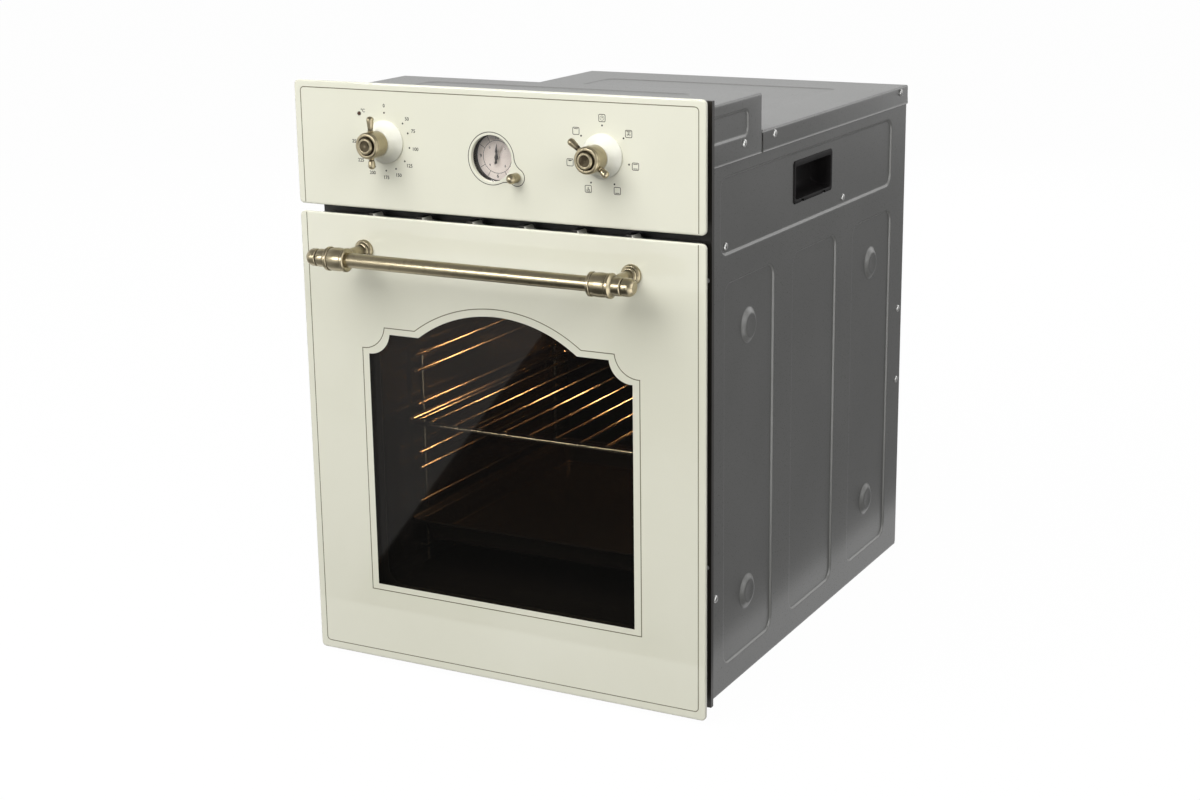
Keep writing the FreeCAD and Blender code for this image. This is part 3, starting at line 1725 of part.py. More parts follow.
def blower_motor():
    """Motor on a bracket from the end wall of the housing."""
    z, outer = blower_sizes()
    y = inside(blower_depth)
    start = blower_length / 2
    block_x = (start + blower_motor_gap, start + blower_motor_gap + blower_motor_length)
    half = outer * 0.6
    block = box(block_x, (y - half, y + half), (z - half, z + half))
    feet = []
    for side in (-1, 1):
        edge = y + side * half
        foot_y = (edge - side * blower_motor_gap, edge)
        feet.append(box((start, block_x[1]), foot_y, (z - half / 2, z + half / 2)))
    bore_end = start + blower_motor_gap + blower_motor_length / 2 + shaft_room
    bore = rod(V(start - sheet, y, z), V(bore_end, y, z), blower_shaft + shaft_slack)
    return joined([block] + feet).cut(bore)


# Mains connection
def terminal_block():
    """Block for the mains wires on the inside of the rear panel."""
    x = (-terminal_x - terminal_width / 2, -terminal_x + terminal_width / 2)
    z = (terminal_z - terminal_height / 2, terminal_z + terminal_height / 2)
    face = rear_y - sheet
    block = box(x, (face - terminal_depth, face), z)
    posts = []
    for n in range(terminal_posts):
        post_x = -terminal_x + (n - (terminal_posts - 1) / 2) * terminal_width / terminal_posts
        start = V(post_x, face - terminal_depth - terminal_post_height, terminal_z)
        posts.append(rod(start, V(post_x, face - terminal_depth / 2, terminal_z), terminal_post_radius))
    return joined([block] + posts)


def cable_gland():
    """Bush in the rear panel for the mains cable."""
    inner_end = V(-terminal_x, rear_y - gland_length, gland_z)
    outer_end = V(-terminal_x, rear_y + gland_flange_thickness, gland_z)
    bush = rod(inner_end, outer_end, gland_radius)
    flange = rod(V(-terminal_x, rear_y, gland_z), outer_end, gland_flange)
    return joined([bush, flange]).cut(rod(inner_end - Y, outer_end + Y, gland_bore))


nodes = {
    "base_panel": base_panel(),
    "side_panel_right": side_panel(),
    "side_panel_left": mirrored(side_panel()),
    "carry_grips": pair(carry_grip()),
    "rear_panel": rear_panel(),
    "top_panel": top_panel(),
    "control_cover": control_cover(),
    "casing_screws": casing_screws(),
    "front_frame": front_frame(),
    "cavity_liner": cavity_liner(),
    "cavity_back": cavity_back(),
    "insulation": group([insulation_wrap(), insulation_back()]),
    "door_seal": door_seal(),
    "upper_heaters": group([top_heater(), grill_heater()]),
    "bottom_heater": bottom_heater(),
    "rack_ladders": pair(rack_ladder()),
    "wire_shelf": wire_shelf(),
    "baking_tray": baking_tray(),
    "fan_cover": fan_cover(),
    "convection_fan": convection_fan(),
    "convection_motor": convection_motor(),
    "oven_lamp": oven_lamp(),
    "lamp_glass": lamp_glass(),
    "thermostat": thermostat(),
    "thermostat_shaft": control_shaft(-knob_x),
    "thermostat_knob": lever_knob(-knob_x, 0),
    "selector_switch": selector_switch(),
    "selector_shaft": control_shaft(knob_x),
    "selector_knob": lever_knob(knob_x, selector_turn),
    "knob_rosettes": group([rosette(-knob_x), rosette(knob_x)]),
    "control_panel": control_panel(),
    "panel_carrier": panel_carrier(),
    "pilot_lamp": pilot_lamp(),
    "clock_case": clock_case(),
    "clock_dial": clock_dial(),
    "clock_lens": clock_lens(),
    "minute_hand": minute_hand(),
    "hour_hand": hour_hand(),
    "alarm_hand": alarm_hand(),
    "clock_knob": clock_knob(),
    "door_outer_glass": door_outer_glass(),
    "door_enamel": door_enamel(),
    "door_frame": door_frame(),
    "door_inner_glass": door_inner_glass(),
    "glass_clips": glass_clips(),
    "door_top_rail": door_top_rail(),
    "hinge_arms": pair(hinge_arm()),
    "hinge_receivers": pair(hinge_receiver()),
    "hinge_channels": pair(hinge_channel()),
    "hinge_springs": pair(hinge_spring()),
    "handle_bar": handle_bar(),
    "handle_caps": pair(handle_cap()),
    "handle_posts": pair(handle_post()),
    "handle_screws": pair(handle_screw_solid()),
    "air_guide": air_guide(),
    "blower_housing": blower_housing(),
    "cooling_fan": cooling_fan(),
    "blower_motor": blower_motor(),
    "terminal_block": terminal_block(),
    "cable_gland": cable_gland(),
}

os.makedirs("parts", exist_ok=True)
for name, shape in nodes.items():
    shape.exportStep("parts/" + name + ".step")
    solids = len(shape.Solids)
    print(f"{name}: {solids} solids, {shape.Volume / 1000:.2f} cm3, valid {shape.isValid()}")
print(len(nodes), "nodes")
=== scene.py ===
# %% [markdown]
# # Dressing a built-in oven
# The solids of the oven come in as a fixed frame, each in its place and on its moving body.
# This lesson gives them the surfaces and finer shapes of the real oven, piece by piece.
# Lengths are written in millimetres, as on a workshop drawing, and become metres in the meshes.

# %% The frame
import json
from math import atan2, cos, hypot, pi, radians, sin

import bmesh
import bpy
from mathutils import Matrix, Vector
from mathutils.geometry import tessellate_polygon


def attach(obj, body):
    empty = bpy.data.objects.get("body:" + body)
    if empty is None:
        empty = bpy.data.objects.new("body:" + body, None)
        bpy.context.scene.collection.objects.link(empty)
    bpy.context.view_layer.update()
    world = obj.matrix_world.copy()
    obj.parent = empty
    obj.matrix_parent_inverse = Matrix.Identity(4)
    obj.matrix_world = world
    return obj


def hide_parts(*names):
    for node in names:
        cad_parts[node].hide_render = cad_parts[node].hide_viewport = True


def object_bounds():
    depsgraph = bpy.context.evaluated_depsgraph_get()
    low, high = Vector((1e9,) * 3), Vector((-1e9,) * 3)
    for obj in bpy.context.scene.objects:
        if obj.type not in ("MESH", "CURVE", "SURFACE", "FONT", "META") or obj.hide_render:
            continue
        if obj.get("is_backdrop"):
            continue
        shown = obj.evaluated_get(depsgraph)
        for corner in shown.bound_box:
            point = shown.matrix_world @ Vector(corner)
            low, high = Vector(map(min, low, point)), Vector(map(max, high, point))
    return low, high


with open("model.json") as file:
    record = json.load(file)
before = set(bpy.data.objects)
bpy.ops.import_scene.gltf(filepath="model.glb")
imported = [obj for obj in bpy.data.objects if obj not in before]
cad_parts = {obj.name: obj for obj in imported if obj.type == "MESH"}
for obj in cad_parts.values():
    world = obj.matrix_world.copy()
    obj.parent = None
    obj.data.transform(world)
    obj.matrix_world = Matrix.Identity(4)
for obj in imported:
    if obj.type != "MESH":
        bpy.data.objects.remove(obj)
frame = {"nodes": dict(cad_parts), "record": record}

cad_low, cad_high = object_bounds()
nodes = frame["nodes"]
scene = bpy.context.scene
print("CAD box", [round(v * 1000, 1) for v in cad_high - cad_low], "mm,", len(nodes), "nodes")

# %% [markdown]
# The camera stands a little to the right of the door and above it, as a person does in a showroom.
# It could be set by eye, but its place was worked out from the corners of the door and the casing,
# so no shift of the lens is needed.


# %% Camera
def linked(name, data):
    """A new object, put into the scene."""
    obj = bpy.data.objects.new(name, data)
    scene.collection.objects.link(obj)
    return obj


STAND = (0.9972, -1.9782, 0.8242)
TURN, DIP, LEAN = 27.93, 15.17, -0.73
lens = bpy.data.cameras.new("showroom_view")
lens.lens, lens.sensor_width = 62.12, 36.0
camera = linked("showroom_view", lens)
camera.matrix_world = (
    Matrix.Translation(STAND)
    @ Matrix.Rotation(radians(TURN), 4, "Z")
    @ Matrix.Rotation(radians(90 - DIP), 4, "X")
    @ Matrix.Rotation(radians(LEAN), 4, "Z")
)
scene.camera = camera
scene.view_settings.view_transform = "Standard"
print("camera at", [round(v, 3) for v in camera.matrix_world.translation])

# %% [markdown]
# A finish is a small program of shader nodes. Wiring nodes by hand gets long, so one function makes any
# node from its type, settings and inputs, and one class wraps a socket and lets sums be written as sums.


# %% Writing shaders as sums
def add_node(tree, kind, settings, sockets):
    """Adds a node to a tree: its settings first, then its inputs, each a plain value or a link."""
    made = tree.nodes.new(kind)
    for key, value in (settings or {}).items():
        setattr(made, key, value)
    for key, value in (sockets or {}).items():
        if isinstance(value, bpy.types.NodeSocket):
            tree.links.new(value, made.inputs[key])
        else:
            made.inputs[key].default_value = value
    return made


class Value:
    """A shader socket that takes part in sums."""

    def __init__(self, finish, socket):
        self.finish, self.socket = finish, socket

    def reckon(self, operation, *terms):
        return self.finish.node("ShaderNodeMath", {"operation": operation}, dict(enumerate(terms)))

    def __add__(self, other):
        return self.reckon("ADD", self, other)

    def __sub__(self, other):
        return self.reckon("SUBTRACT", self, other)

    def __rsub__(self, other):
        return self.reckon("SUBTRACT", other, self)

    def __mul__(self, other):
        return self.reckon("MULTIPLY", self, other)

    def __pow__(self, other):
        return self.reckon("POWER", self, other)

    __radd__, __rmul__ = __add__, __mul__


print("a socket now takes part in sums")

# %% [markdown]
# The nodes that nearly every finish needs get short names: noise, a smooth step, a mix of two colours,
# a bump, and a number that a mesh carries on its points. Colours are written as they look on a screen.


# %% A finish and its nodes
class Finish:
    """The nodes of one material, or of the world."""

    def __init__(self, owner):
        owner.use_nodes = True
        self.owner, self.tree = owner, owner.node_tree
        self.tree.nodes.clear()

    def node(self, kind, settings=None, sockets=None, out=0):
        plugs = {key: v.socket if isinstance(v, Value) else v for key, v in (sockets or {}).items()}
        made = add_node(self.tree, kind, settings, plugs)
        return Value(self, made.outputs[out]) if made.outputs else made

    def noise(self, scale, detail=2.0, stretch=(1, 1, 1)):
        place = self.node("ShaderNodeTexCoord", out="Object")
        place = self.node("ShaderNodeMapping", None, {"Vector": place, "Scale": stretch})
        return self.node("ShaderNodeTexNoise", None, {"Vector": place, "Scale": scale, "Detail": detail})

    def span(self, value, low, high):
        """0 below low, 1 above high, and a smooth step between them."""
        limits = {"Value": value, "From Min": low, "From Max": high}
        return self.node("ShaderNodeMapRange", {"interpolation_type": "SMOOTHSTEP"}, limits)

    def mix(self, share, low, high):
        return self.node("ShaderNodeMix", {"data_type": "RGBA"}, {0: share, 6: low, 7: high}, 2)

    def bump(self, height, strength, distance=0.0002):
        sockets = {"Height": height, "Strength": strength, "Distance": distance}
        return self.node("ShaderNodeBump", None, sockets)

    def attribute(self, name):
        return self.node("ShaderNodeAttribute", {"attribute_name": name}, out="Fac")

    def output(self, shader, kind="ShaderNodeOutputMaterial"):
        self.node(kind, None, {"Surface": shader})
        return self.owner

    def surface(self, sockets):
        return self.output(self.node("ShaderNodeBsdfPrincipled", None, sockets))


def srgb(red, green, blue):
    """A colour as it is read off a screen, 0 to 255, as the linear light that shaders use."""
    parts = (v / 255 for v in (red, green, blue))
    return (*(v / 12.92 if v <= 0.04045 else ((v + 0.055) / 1.055) ** 2.4 for v in parts), 1.0)


def new_finish(name):
    return Finish(bpy.data.materials.new(name))


print("cream", [round(v, 3) for v in srgb(226, 225, 208)])

# %% [markdown]
# Most finishes of an oven are coats on sheet metal or moulded parts: one colour that clouds a little,
# with a grain that breaks up the gloss. One recipe makes them all, from two colours and a grain size.
# On sheet the pressed edges and bends are painted paler: a painted highlight for the light they catch.


# %% Coats and moulded finishes
def coated(name, low, high, rough, patch, grain, relief, painted_highlight=None, specular=0.5):
    """A coat that clouds between two colours, with a fine grain in its gloss and relief."""
    f = new_finish(name)
    cloud, fine = f.noise(patch, 4.0), f.noise(grain, 3.0)
    colour = f.mix(f.span(cloud + 0.3 * fine, 0.4, 0.9), srgb(*low), srgb(*high))
    # Points that a mesh marks turn towards the paler colour: a painted highlight on pressed edges and
    # bends.
    if painted_highlight:
        colour = f.mix(f.attribute("wear") * (0.8 + 0.2 * cloud), colour, srgb(*painted_highlight))
    return f.surface({
        "Base Color": colour,
        "Roughness": rough[0] + (rough[1] - rough[0]) * fine,
        "Normal": f.bump(fine, relief),
        "Specular IOR Level": specular,
    })


# Two colours, roughness from and to, scale of the clouds and of the grain, relief, and then
# the paler colour of the painted highlight on marked edges, and a weaker mirror, where a finish has them.
COATS = {
    "grey_sheet": ((92, 92, 90), (99, 99, 97), (0.24, 0.34), 9, 900, 0.015, (150, 150, 147)),
    "black_sheet": ((28, 25, 21), (38, 35, 30), (0.3, 0.45), 20, 1200, 0.12, (240, 238, 226)),
    "black_plastic": ((20, 19, 19), (30, 28, 28), (0.4, 0.6), 40, 2500, 0.3, None, 0.06),
    "seal_rubber": ((20, 19, 19), (34, 32, 31), (0.6, 0.8), 60, 1500, 0.4),
    "cream_plastic": ((226, 225, 211), (232, 231, 219), (0.2, 0.3), 25, 700, 0.04),
    "dial_white": ((238, 229, 223), (244, 236, 230), (0.5, 0.65), 90, 1800, 0.08),
    "lamp_white": ((228, 222, 206), (240, 236, 224), (0.3, 0.4), 60, 900, 0.05),
    "pilot_amber": ((52, 30, 18), (74, 40, 20), (0.1, 0.2), 300, 2000, 0.05),
    "hand_black": ((30, 28, 27), (46, 43, 40), (0.35, 0.5), 200, 2500, 0.1),
    "hand_light": ((196, 188, 180), (214, 206, 198), (0.3, 0.45), 200, 2500, 0.1),
    "wool": ((196, 184, 132), (226, 216, 170), (0.85, 0.95), 50, 700, 1.0),
}
finishes = {name: coated(name, *row) for name, row in COATS.items()}
print(len(finishes), "coats and moulded finishes")

# %% [markdown]
# Bare metal has no coat: its colour is in its reflection. Sheet shows rolling lines, wire shows the
# draw of its die, and a heater's sheath is brown from the heat. So the noise in the gloss is drawn
# out along one axis, and a second, softer noise clouds the colour.


# %% Bare metals
def bare_metal(name, low, high, rough, stretch, grain, relief):
    f = new_finish(name)
    drawn, cloud = f.noise(grain, 3.0, stretch), f.noise(35, 4.0)
    return f.surface({
        "Base Color": f.mix(f.span(cloud, 0.3, 0.7), srgb(*low), srgb(*high)),
        "Roughness": rough[0] + (rough[1] - rough[0]) * drawn,
        "Metallic": 1.0,
        "Normal": f.bump(drawn, relief),
    })


# Two colours, roughness from and to, stretch and scale of the drawn lines, relief.
METALS = {
    "steel": ((168, 168, 166), (190, 190, 188), (0.22, 0.4), (1, 1, 0.1), 900, 0.1),
    "chrome_wire": ((205, 204, 202), (222, 221, 219), (0.12, 0.22), (1, 0.1, 1), 700, 0.05),
    "heater_sheath": ((52, 46, 43), (70, 66, 64), (0.35, 0.55), (1, 1, 1), 500, 0.15),
    "aluminium_sheet": ((196, 198, 200), (212, 213, 215), (0.3, 0.45), (0.1, 1, 1), 800, 0.1),
}
finishes |= {name: bare_metal(name, *row) for name, row in METALS.items()}
print("bare metals:", ", ".join(METALS))

# %% [markdown]
# Enamel fired on the cavity is glass on steel: dark, glossy, and full of pale specks.
# The cream of the door is printed under clear glass, so its colour is soft and its gloss is sharp:
# a coat over a rough base does that. Clear glass only mirrors a little and lets the rest through,
# which needs no bending of light in panes this thin: its mirror share rises from 4% to all at the rim.
# The inner pane of the door has a coat that keeps heat in and mirrors less.

# %% Enamel and glass
f = new_finish("cavity_enamel")
specks = f.span(f.noise(1400, 1.0), 0.66, 0.72)
finishes["cavity_enamel"] = f.surface({
    "Base Color": f.mix(specks * 0.8, srgb(44, 42, 42), srgb(120, 118, 116)),
    "Roughness": 0.18 + 0.1 * f.noise(120),
    "Normal": f.bump(f.noise(260, 2.0), 0.08),
})


def cream_print(name, low, high):
    """A printed colour under clear glass."""
    f = new_finish(name)
    return f.surface({
        "Base Color": f.mix(f.span(f.noise(5, 4.0), 0.35, 0.65), srgb(*low), srgb(*high)),
        "Roughness": 0.5 + 0.1 * f.noise(600),
        "Coat Weight": 0.97 + 0.03 * f.noise(18),
        "Coat Roughness": 0.02,
        "Specular IOR Level": 0.0,
    })


HEAD_ON = 0.04


def clear_pane(name, tint, smear, gloss=1.0):
    """A thin pane that mirrors a share of the light and tints the rest."""
    f = new_finish(name)
    through = f.node("ShaderNodeBsdfTransparent", None, {"Color": tint})
    mirror = f.node("ShaderNodeBsdfGlossy", None, {"Roughness": 0.0})
    facing = f.node("ShaderNodeLayerWeight", None, {"Blend": 0.5}, "Facing")
    share = (HEAD_ON + (1 - HEAD_ON) * facing ** 5) * gloss
    share = share * (1 - smear + smear * f.noise(9, 4.0))
    return f.output(f.node("ShaderNodeMixShader", None, {0: share, 1: through, 2: mirror}))


DOOR_TINT, LENS_TINT = (0.82, 0.8, 0.76, 1), (0.97, 0.96, 0.95, 1)
finishes |= {
    "cream_glass": cream_print("cream_glass", (224, 223, 205), (228, 227, 210)),
    "clear_glass": clear_pane("clear_glass", DOOR_TINT, 0.15),
    "quiet_glass": clear_pane("quiet_glass", DOOR_TINT, 0.15, 0.25),
    "lens_glass": clear_pane("lens_glass", LENS_TINT, 0.1),
    "print_brown": cream_print("print_brown", (112, 108, 86), (124, 120, 98)),
    "print_dark": cream_print("print_dark", (40, 36, 32), (54, 49, 44)),
}
print("enamel and glass added,", len(finishes), "finishes")

# %% [markdown]
# Antique brass is turned on a lathe, darkened, then rubbed back: the ridges are bright, the grooves
# stay brown, and the tool has left fine rings. The rings run along each piece's own map, where v is
# the length along its outline, and a number on each point says ridge or groove. The flat front faces
# of the knob hubs carry the groove mark too, so they are painted darker: painted shade for the dark
# reflection they show.

# %% Antique brass
RINGS_PER_METRE = 4200.0
BRIGHT, BROWN = srgb(171, 160, 133), srgb(64, 56, 44)
f = new_finish("antique_brass")
outline = f.node("ShaderNodeUVMap", {"uv_map": "turned"})
outline = f.node("ShaderNodeSeparateXYZ", None, {0: outline}, "Y")
rings = {"W": outline * RINGS_PER_METRE, "Detail": 3.0}
rings = f.node("ShaderNodeTexNoise", {"noise_dimensions": "1D"}, rings)
# Grooves get a brown patina. The flat front faces of the knob hubs are marked like grooves and get the same
# darker colour, as painted shade for the dark reflection they show.
groove_patina_and_face_shade = f.span(0.0 - f.attribute("wear"), 0.1, 0.9)
tarnish_and_face_shade = f.span(f.noise(130, 5.0), 0.45, 0.75) * 0.35 + groove_patina_and_face_shade * 0.8
finishes["antique_brass"] = f.surface({
    "Base Color": f.mix(f.span(tarnish_and_face_shade, 0.0, 1.0), BRIGHT, BROWN),
    "Metallic": 1.0,
    "Roughness": 0.26 + 0.06 * rings + 0.12 * groove_patina_and_face_shade,
    "Normal": f.bump(rings, 0.15, 0.00012),
})
print("brass with", len(f.tree.nodes), "nodes")

# %% [markdown]
# Each solid of the frame takes the finish of its slot. Pieces that need a finer shape are replaced
# further down; the ones that stay here are already right as they are.

# %% Finishes on the frame
slot_of = {row["node"]: row["material_slot"] for row in frame["record"]["subparts"]}
for name, solid in nodes.items():
    for place in solid.material_slots:
        place.material = finishes[slot_of[name]]
nodes["clock_lens"].material_slots[0].material = finishes["lens_glass"]
nodes["door_inner_glass"].material_slots[0].material = finishes["quiet_glass"]
print("dressed", len(slot_of), "solids")

# %% [markdown]
# New pieces are drawn as rings of points joined by bands of faces, the way a loft is drawn on paper.
# A form collects points and faces, and makes one clean mesh of them at the end. A flat face next to a
# rounded edge gets one more ring just inside it, so that its shading stays flat.


# %% A form of rings
class Form:
    """Rings of points in millimetres, joined by faces."""

    def __init__(self):
        self.points, self.wear, self.faces = [], [], []

    def ring(self, points, wear=0.0):
        start = len(self.points)
        self.points += points
        self.wear += [wear] * len(points)
        return list(range(start, len(self.points)))

    def bridge(self, first, second, closed=True, v=(0.0, 0.0)):
        count = len(first)
        for i in range(count if closed else count - 1):
            j = (i + 1) % count
            corners = first[i], first[j], second[j], second[i]
            left, right = i / count, (i + 1) / count
            places = (left, v[0]), (right, v[0]), (right, v[1]), (left, v[1])
            self.faces.append((corners, 0, places))

    def loft(self, rings, closed=True):
        for first, second in zip(rings, rings[1:]):
            self.bridge(first, second, closed)

    def cap(self, loops, tint=0):
        corners = [i for loop in loops for i in loop]
        drawn = [[Vector(self.points[i]) for i in loop] for loop in loops]
        for face in tessellate_polygon(drawn):
            self.faces.append((tuple(corners[i] for i in face), tint, ((0.0, 0.0),) * 3))

    def made(self, name, slots, sharp=40, outward=None):
        """The mesh in metres, with doubles merged and normals outward."""
        bm = bmesh.new()
        wear = bm.verts.layers.float.new("wear")
        turned = bm.loops.layers.uv.new("turned")
        points = [bm.verts.new([c * 0.001 for c in p]) for p in self.points]
        for point, value in zip(points, self.wear):
            point[wear] = value
        seen = set()
        for corners, tint, places in self.faces:
            kept = dict(zip(corners, places))
            if len(kept) < 3 or frozenset(kept) in seen:
                continue
            seen.add(frozenset(kept))
            face = bm.faces.new([points[i] for i in kept])
            face.material_index, face.smooth = tint, True
            for loop, place in zip(face.loops, kept.values()):
                loop[turned].uv = place
        bmesh.ops.remove_doubles(bm, verts=bm.verts, dist=2e-7)
        bmesh.ops.recalc_face_normals(bm, faces=bm.faces)
        if outward is not None:
            facing = sum((face.normal * face.calc_area() for face in bm.faces), Vector())
            if facing.dot(Vector(outward)) < 0:
                bmesh.ops.reverse_faces(bm, faces=bm.faces)
        mesh = bpy.data.meshes.new(name)
        bm.to_mesh(mesh)
        bm.free()
        mesh.set_sharp_from_angle(angle=radians(sharp))
        for slot in slots:
            mesh.materials.append(finishes[slot])
        return mesh


def piece(name, mesh, body, slot, *replaced):
    """Puts a finished mesh on its body, in place of the solids that it stands for."""
    obj = linked(name, mesh)
    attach(obj, body)
    if replaced:
        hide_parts(*replaced)
    print(name, len(mesh.polygons), "faces on", body)


print("a form is ready for its rings")

# %% [markdown]
# Almost every outline on an oven is a rounded rectangle, a circle or an arc through three points, so
# these are drawn once, as lists of points. Steps along a curve are even, which keeps the bands tidy.


# %% Outlines
def rounded_loop(low, high, radius, steps=8):
    """A rectangle with rounded corners, anticlockwise, as (u, v) points."""
    left, right = low[0] + radius, high[0] - radius
    bottom, top = low[1] + radius, high[1] - radius
    loop = []
    for quarter, (u, v) in enumerate(((right, top), (left, top), (left, bottom), (right, bottom))):
        for i in range(steps + 1):
            angle = (quarter + i / steps) * pi / 2
            loop.append((u + radius * cos(angle), v + radius * sin(angle)))
    return loop


def inset_loop(low, high, corner, inset, steps=8):
    """The same, drawn in from its edges on all sides."""
    low, high = [c + inset for c in low], [c - inset for c in high]
    return rounded_loop(low, high, max(corner - inset, 0.3), steps)


def circle(centre, radius, count):
    turns = (2 * pi * i / count for i in range(count))
    return [(centre[0] + radius * cos(a), centre[1] + radius * sin(a)) for a in turns]


def arc(start, middle, end, count):
    """Points on the arc through three points, without its start."""
    (ax, ay), (bx, by), (cx, cy) = start, middle, end
    d = 2 * (ax * (by - cy) + bx * (cy - ay) + cx * (ay - by))
    a, b, c = ax * ax + ay * ay, bx * bx + by * by, cx * cx + cy * cy
    x = (a * (by - cy) + b * (cy - ay) + c * (ay - by)) / d
    y = (a * (cx - bx) + b * (ax - cx) + c * (bx - ax)) / d
    first, half, last = (atan2(p[1] - y, p[0] - x) for p in (start, middle, end))
    turn = (last - first) % (2 * pi)
    if (half - first) % (2 * pi) > turn:
        turn -= 2 * pi
    radius = hypot(ax - x, ay - y)
    angles = (first + turn * i / count for i in range(1, count + 1))
    return [(x + radius * cos(t), y + radius * sin(t)) for t in angles]


def polar(centre, radius, clockwise):
    """A point at a clock angle, in degrees from the top."""
    return centre[0] + radius * sin(radians(clockwise)), centre[1] + radius * cos(radians(clockwise))


print("a rounded rectangle has", len(rounded_loop((0, 0), (9, 9), 2)), "points")

# %% [markdown]
# A print is a film of ink, but a film with no thickness would flicker against the glass. So a printed
# line is a strip a few hundredths of a millimetre thick, that follows a path and turns its corners
# with a mitre. The same helper draws the pinstripes, the dial rings and the little symbols.
# Numbers come from Blender's own font, made into thin solid letters.

# %% Printed lines
INK, SUNK = 0.05, 0.02
LETTER_DEPTH, FONT_SIZE, BOLDNESS = 0.04, 1.38, 0.026


def shifted(path, distance, closed=True):
    """The path moved sideways, with mitred corners."""
    moved, count = [], len(path)
    for i, (x, y) in enumerate(path):
        before = path[i - 1] if closed or i else None
        after = path[(i + 1) % count] if closed or i + 1 < count else None
        sides = []
        for a, b in ((before, (x, y)), ((x, y), after)):
            if a is None or b is None:
                continue
            length = hypot(b[0] - a[0], b[1] - a[1])
            if length > 1e-9:
                sides.append(((b[1] - a[1]) / length, (a[0] - b[0]) / length))
        nx, ny = sum(s[0] for s in sides), sum(s[1] for s in sides)
        size = hypot(nx, ny)
        nx, ny = nx / size, ny / size
        reach = distance / max(nx * sides[0][0] + ny * sides[0][1], 0.4)
        moved.append((x + nx * reach, y + ny * reach))
    return moved


def ribbon(form, path, width, face, closed=True):
    """A printed strip along a path of (x, z) points on a face that looks along -Y."""
    left, right = shifted(path, -width / 2, closed), shifted(path, width / 2, closed)
    section = (left, face - INK), (right, face - INK), (right, face + SUNK), (left, face + SUNK)
    rings = [form.ring([(x, y, z) for x, z in edge]) for edge, y in section]
    form.loft([*rings, rings[0]], closed)
    if not closed:
        for end in (0, -1):
            form.cap([[ring[end] for ring in rings]])


def plain_mesh(carrier, name):
    """The mesh that an object shows once its modifiers have worked; the object itself goes."""
    shown = carrier.evaluated_get(bpy.context.evaluated_depsgraph_get())
    mesh = bpy.data.meshes.new_from_object(shown)
    bpy.data.objects.remove(carrier)
    mesh.name = name
    return mesh


def written(form, marks, face):
    """Adds texts as thin solid letters, each with its centre and height, on a -Y face."""
    for text, x, z, height in marks:
        curve = bpy.data.curves.new("mark", "FONT")
        curve.body, curve.size, curve.offset = text, height * FONT_SIZE, BOLDNESS * height
        curve.extrude, curve.resolution_u = LETTER_DEPTH, 3
        curve.align_x, curve.align_y = "CENTER", "CENTER"
        drawn = plain_mesh(linked("mark", curve), "mark")
        corners = form.ring([(x + v.co.x, face - v.co.z, z + v.co.y) for v in drawn.vertices])
        for letter_face in drawn.polygons:
            at = tuple(corners[i] for i in letter_face.vertices)
            form.faces.append((at, 0, ((0.0, 0.0),) * len(at)))
        bpy.data.meshes.remove(drawn)
    print("wrote", len(marks), "marks")


print("ink stands", INK, "mm proud of its glass")

# %% [markdown]
# The door is one pane of glass with a cream print on its back and an arched window left clear.
# It could be a plain slab with a painted picture, but an edge that is ground round catches the light.
# So the pane is one closed solid: a ground edge, a cream region, and a window region in clear glass.
# The window in its back is a little wider, so that the print's edge doesn't show twice from the side.

# %% Door pane
GLASS, GLASS_BACK = -310.0, -306.0
PANE, PANE_CORNER = 223, 5
CLEAR, WIDER = 1, 3.0


def window_path(x, low, notch_z, notch_x, shoulder, arch_x, top):
    """The arched outline, anticlockwise from its lower right corner."""
    scoop = x - 0.7 * (x - notch_x), shoulder - 0.7 * (shoulder - notch_z)
    notch = arc((x, notch_z), scoop, (notch_x, shoulder), 10)
    side = [(x, low), (x, notch_z), *notch, (arch_x, shoulder)]
    crown = arc((arch_x, shoulder), (0, top), (-arch_x, shoulder), 40)
    return side + crown + [(-u, v) for u, v in side[-2::-1]]


def ground_edge(form, bottom, top):
    """The pencil edge of a 4 mm pane; gives its back ring and its front ring."""
    edge = (
        (0.9, GLASS_BACK), (0.3, -306.4), (0, -307.1), (0, -308.7),
        (0.12, -309.3), (0.45, -309.8), (1.0, GLASS), (2.5, GLASS),
    )
    rings = []
    for inset, y in edge:
        loop = inset_loop((-PANE, bottom), (PANE, top), PANE_CORNER, inset)
        rings.append(form.ring([(u, y, v) for u, v in loop]))
    form.loft(rings)
    return rings[0], rings[-1]


window = window_path(147.5, 86.6, 330.6, 122.5, 352.1, 88.5, 381.6)
form = Form()
rear, front = ground_edge(form, 5, 470)
for face, y, edge in ((front, GLASS, window), (rear, GLASS_BACK, shifted(window, WIDER))):
    clear = form.ring([(u, y, v) for u, v in edge])
    form.cap([face, clear])
    form.cap([clear], CLEAR)
mesh = form.made("door_pane", ["cream_glass", "clear_glass"])
piece("door_pane", mesh, "door", "cream_glass", "door_outer_glass", "door_enamel")

# %% [markdown]
# Fine brown lines frame the window and run round the door and the panel. They are part of the print,
# so they are strips of ink on the glass. The border of the door is open at its top, where it goes on
# across the gap as the border of the panel.

# %% Door lines
LINE, FRAME_LINE = 0.9, 0.95
form = Form()
ribbon(form, window_path(155, 80.3, 336, 128.4, 358.5, 93, 389), FRAME_LINE, GLASS)
BORDER_X, BORDER_TOP = 215.3, 469
border = [(u, v) for u, v in rounded_loop((-BORDER_X, 13.5), (BORDER_X, 600), 4) if v < 300]
ribbon(form, [(-BORDER_X, BORDER_TOP), *border, (BORDER_X, BORDER_TOP)], LINE, GLASS, closed=False)
piece("door_lines", form.made("door_lines", ["print_brown"]), "door", "cream_glass")

# %% [markdown]
# The control panel is the same glass, with holes for the shafts, the clock, its setting knob and the
# lamp. Each hole has a small chamfer that catches the light, as a drilled glass edge does. The holes
# are rings in the same form as the edge, so no cutting is needed.

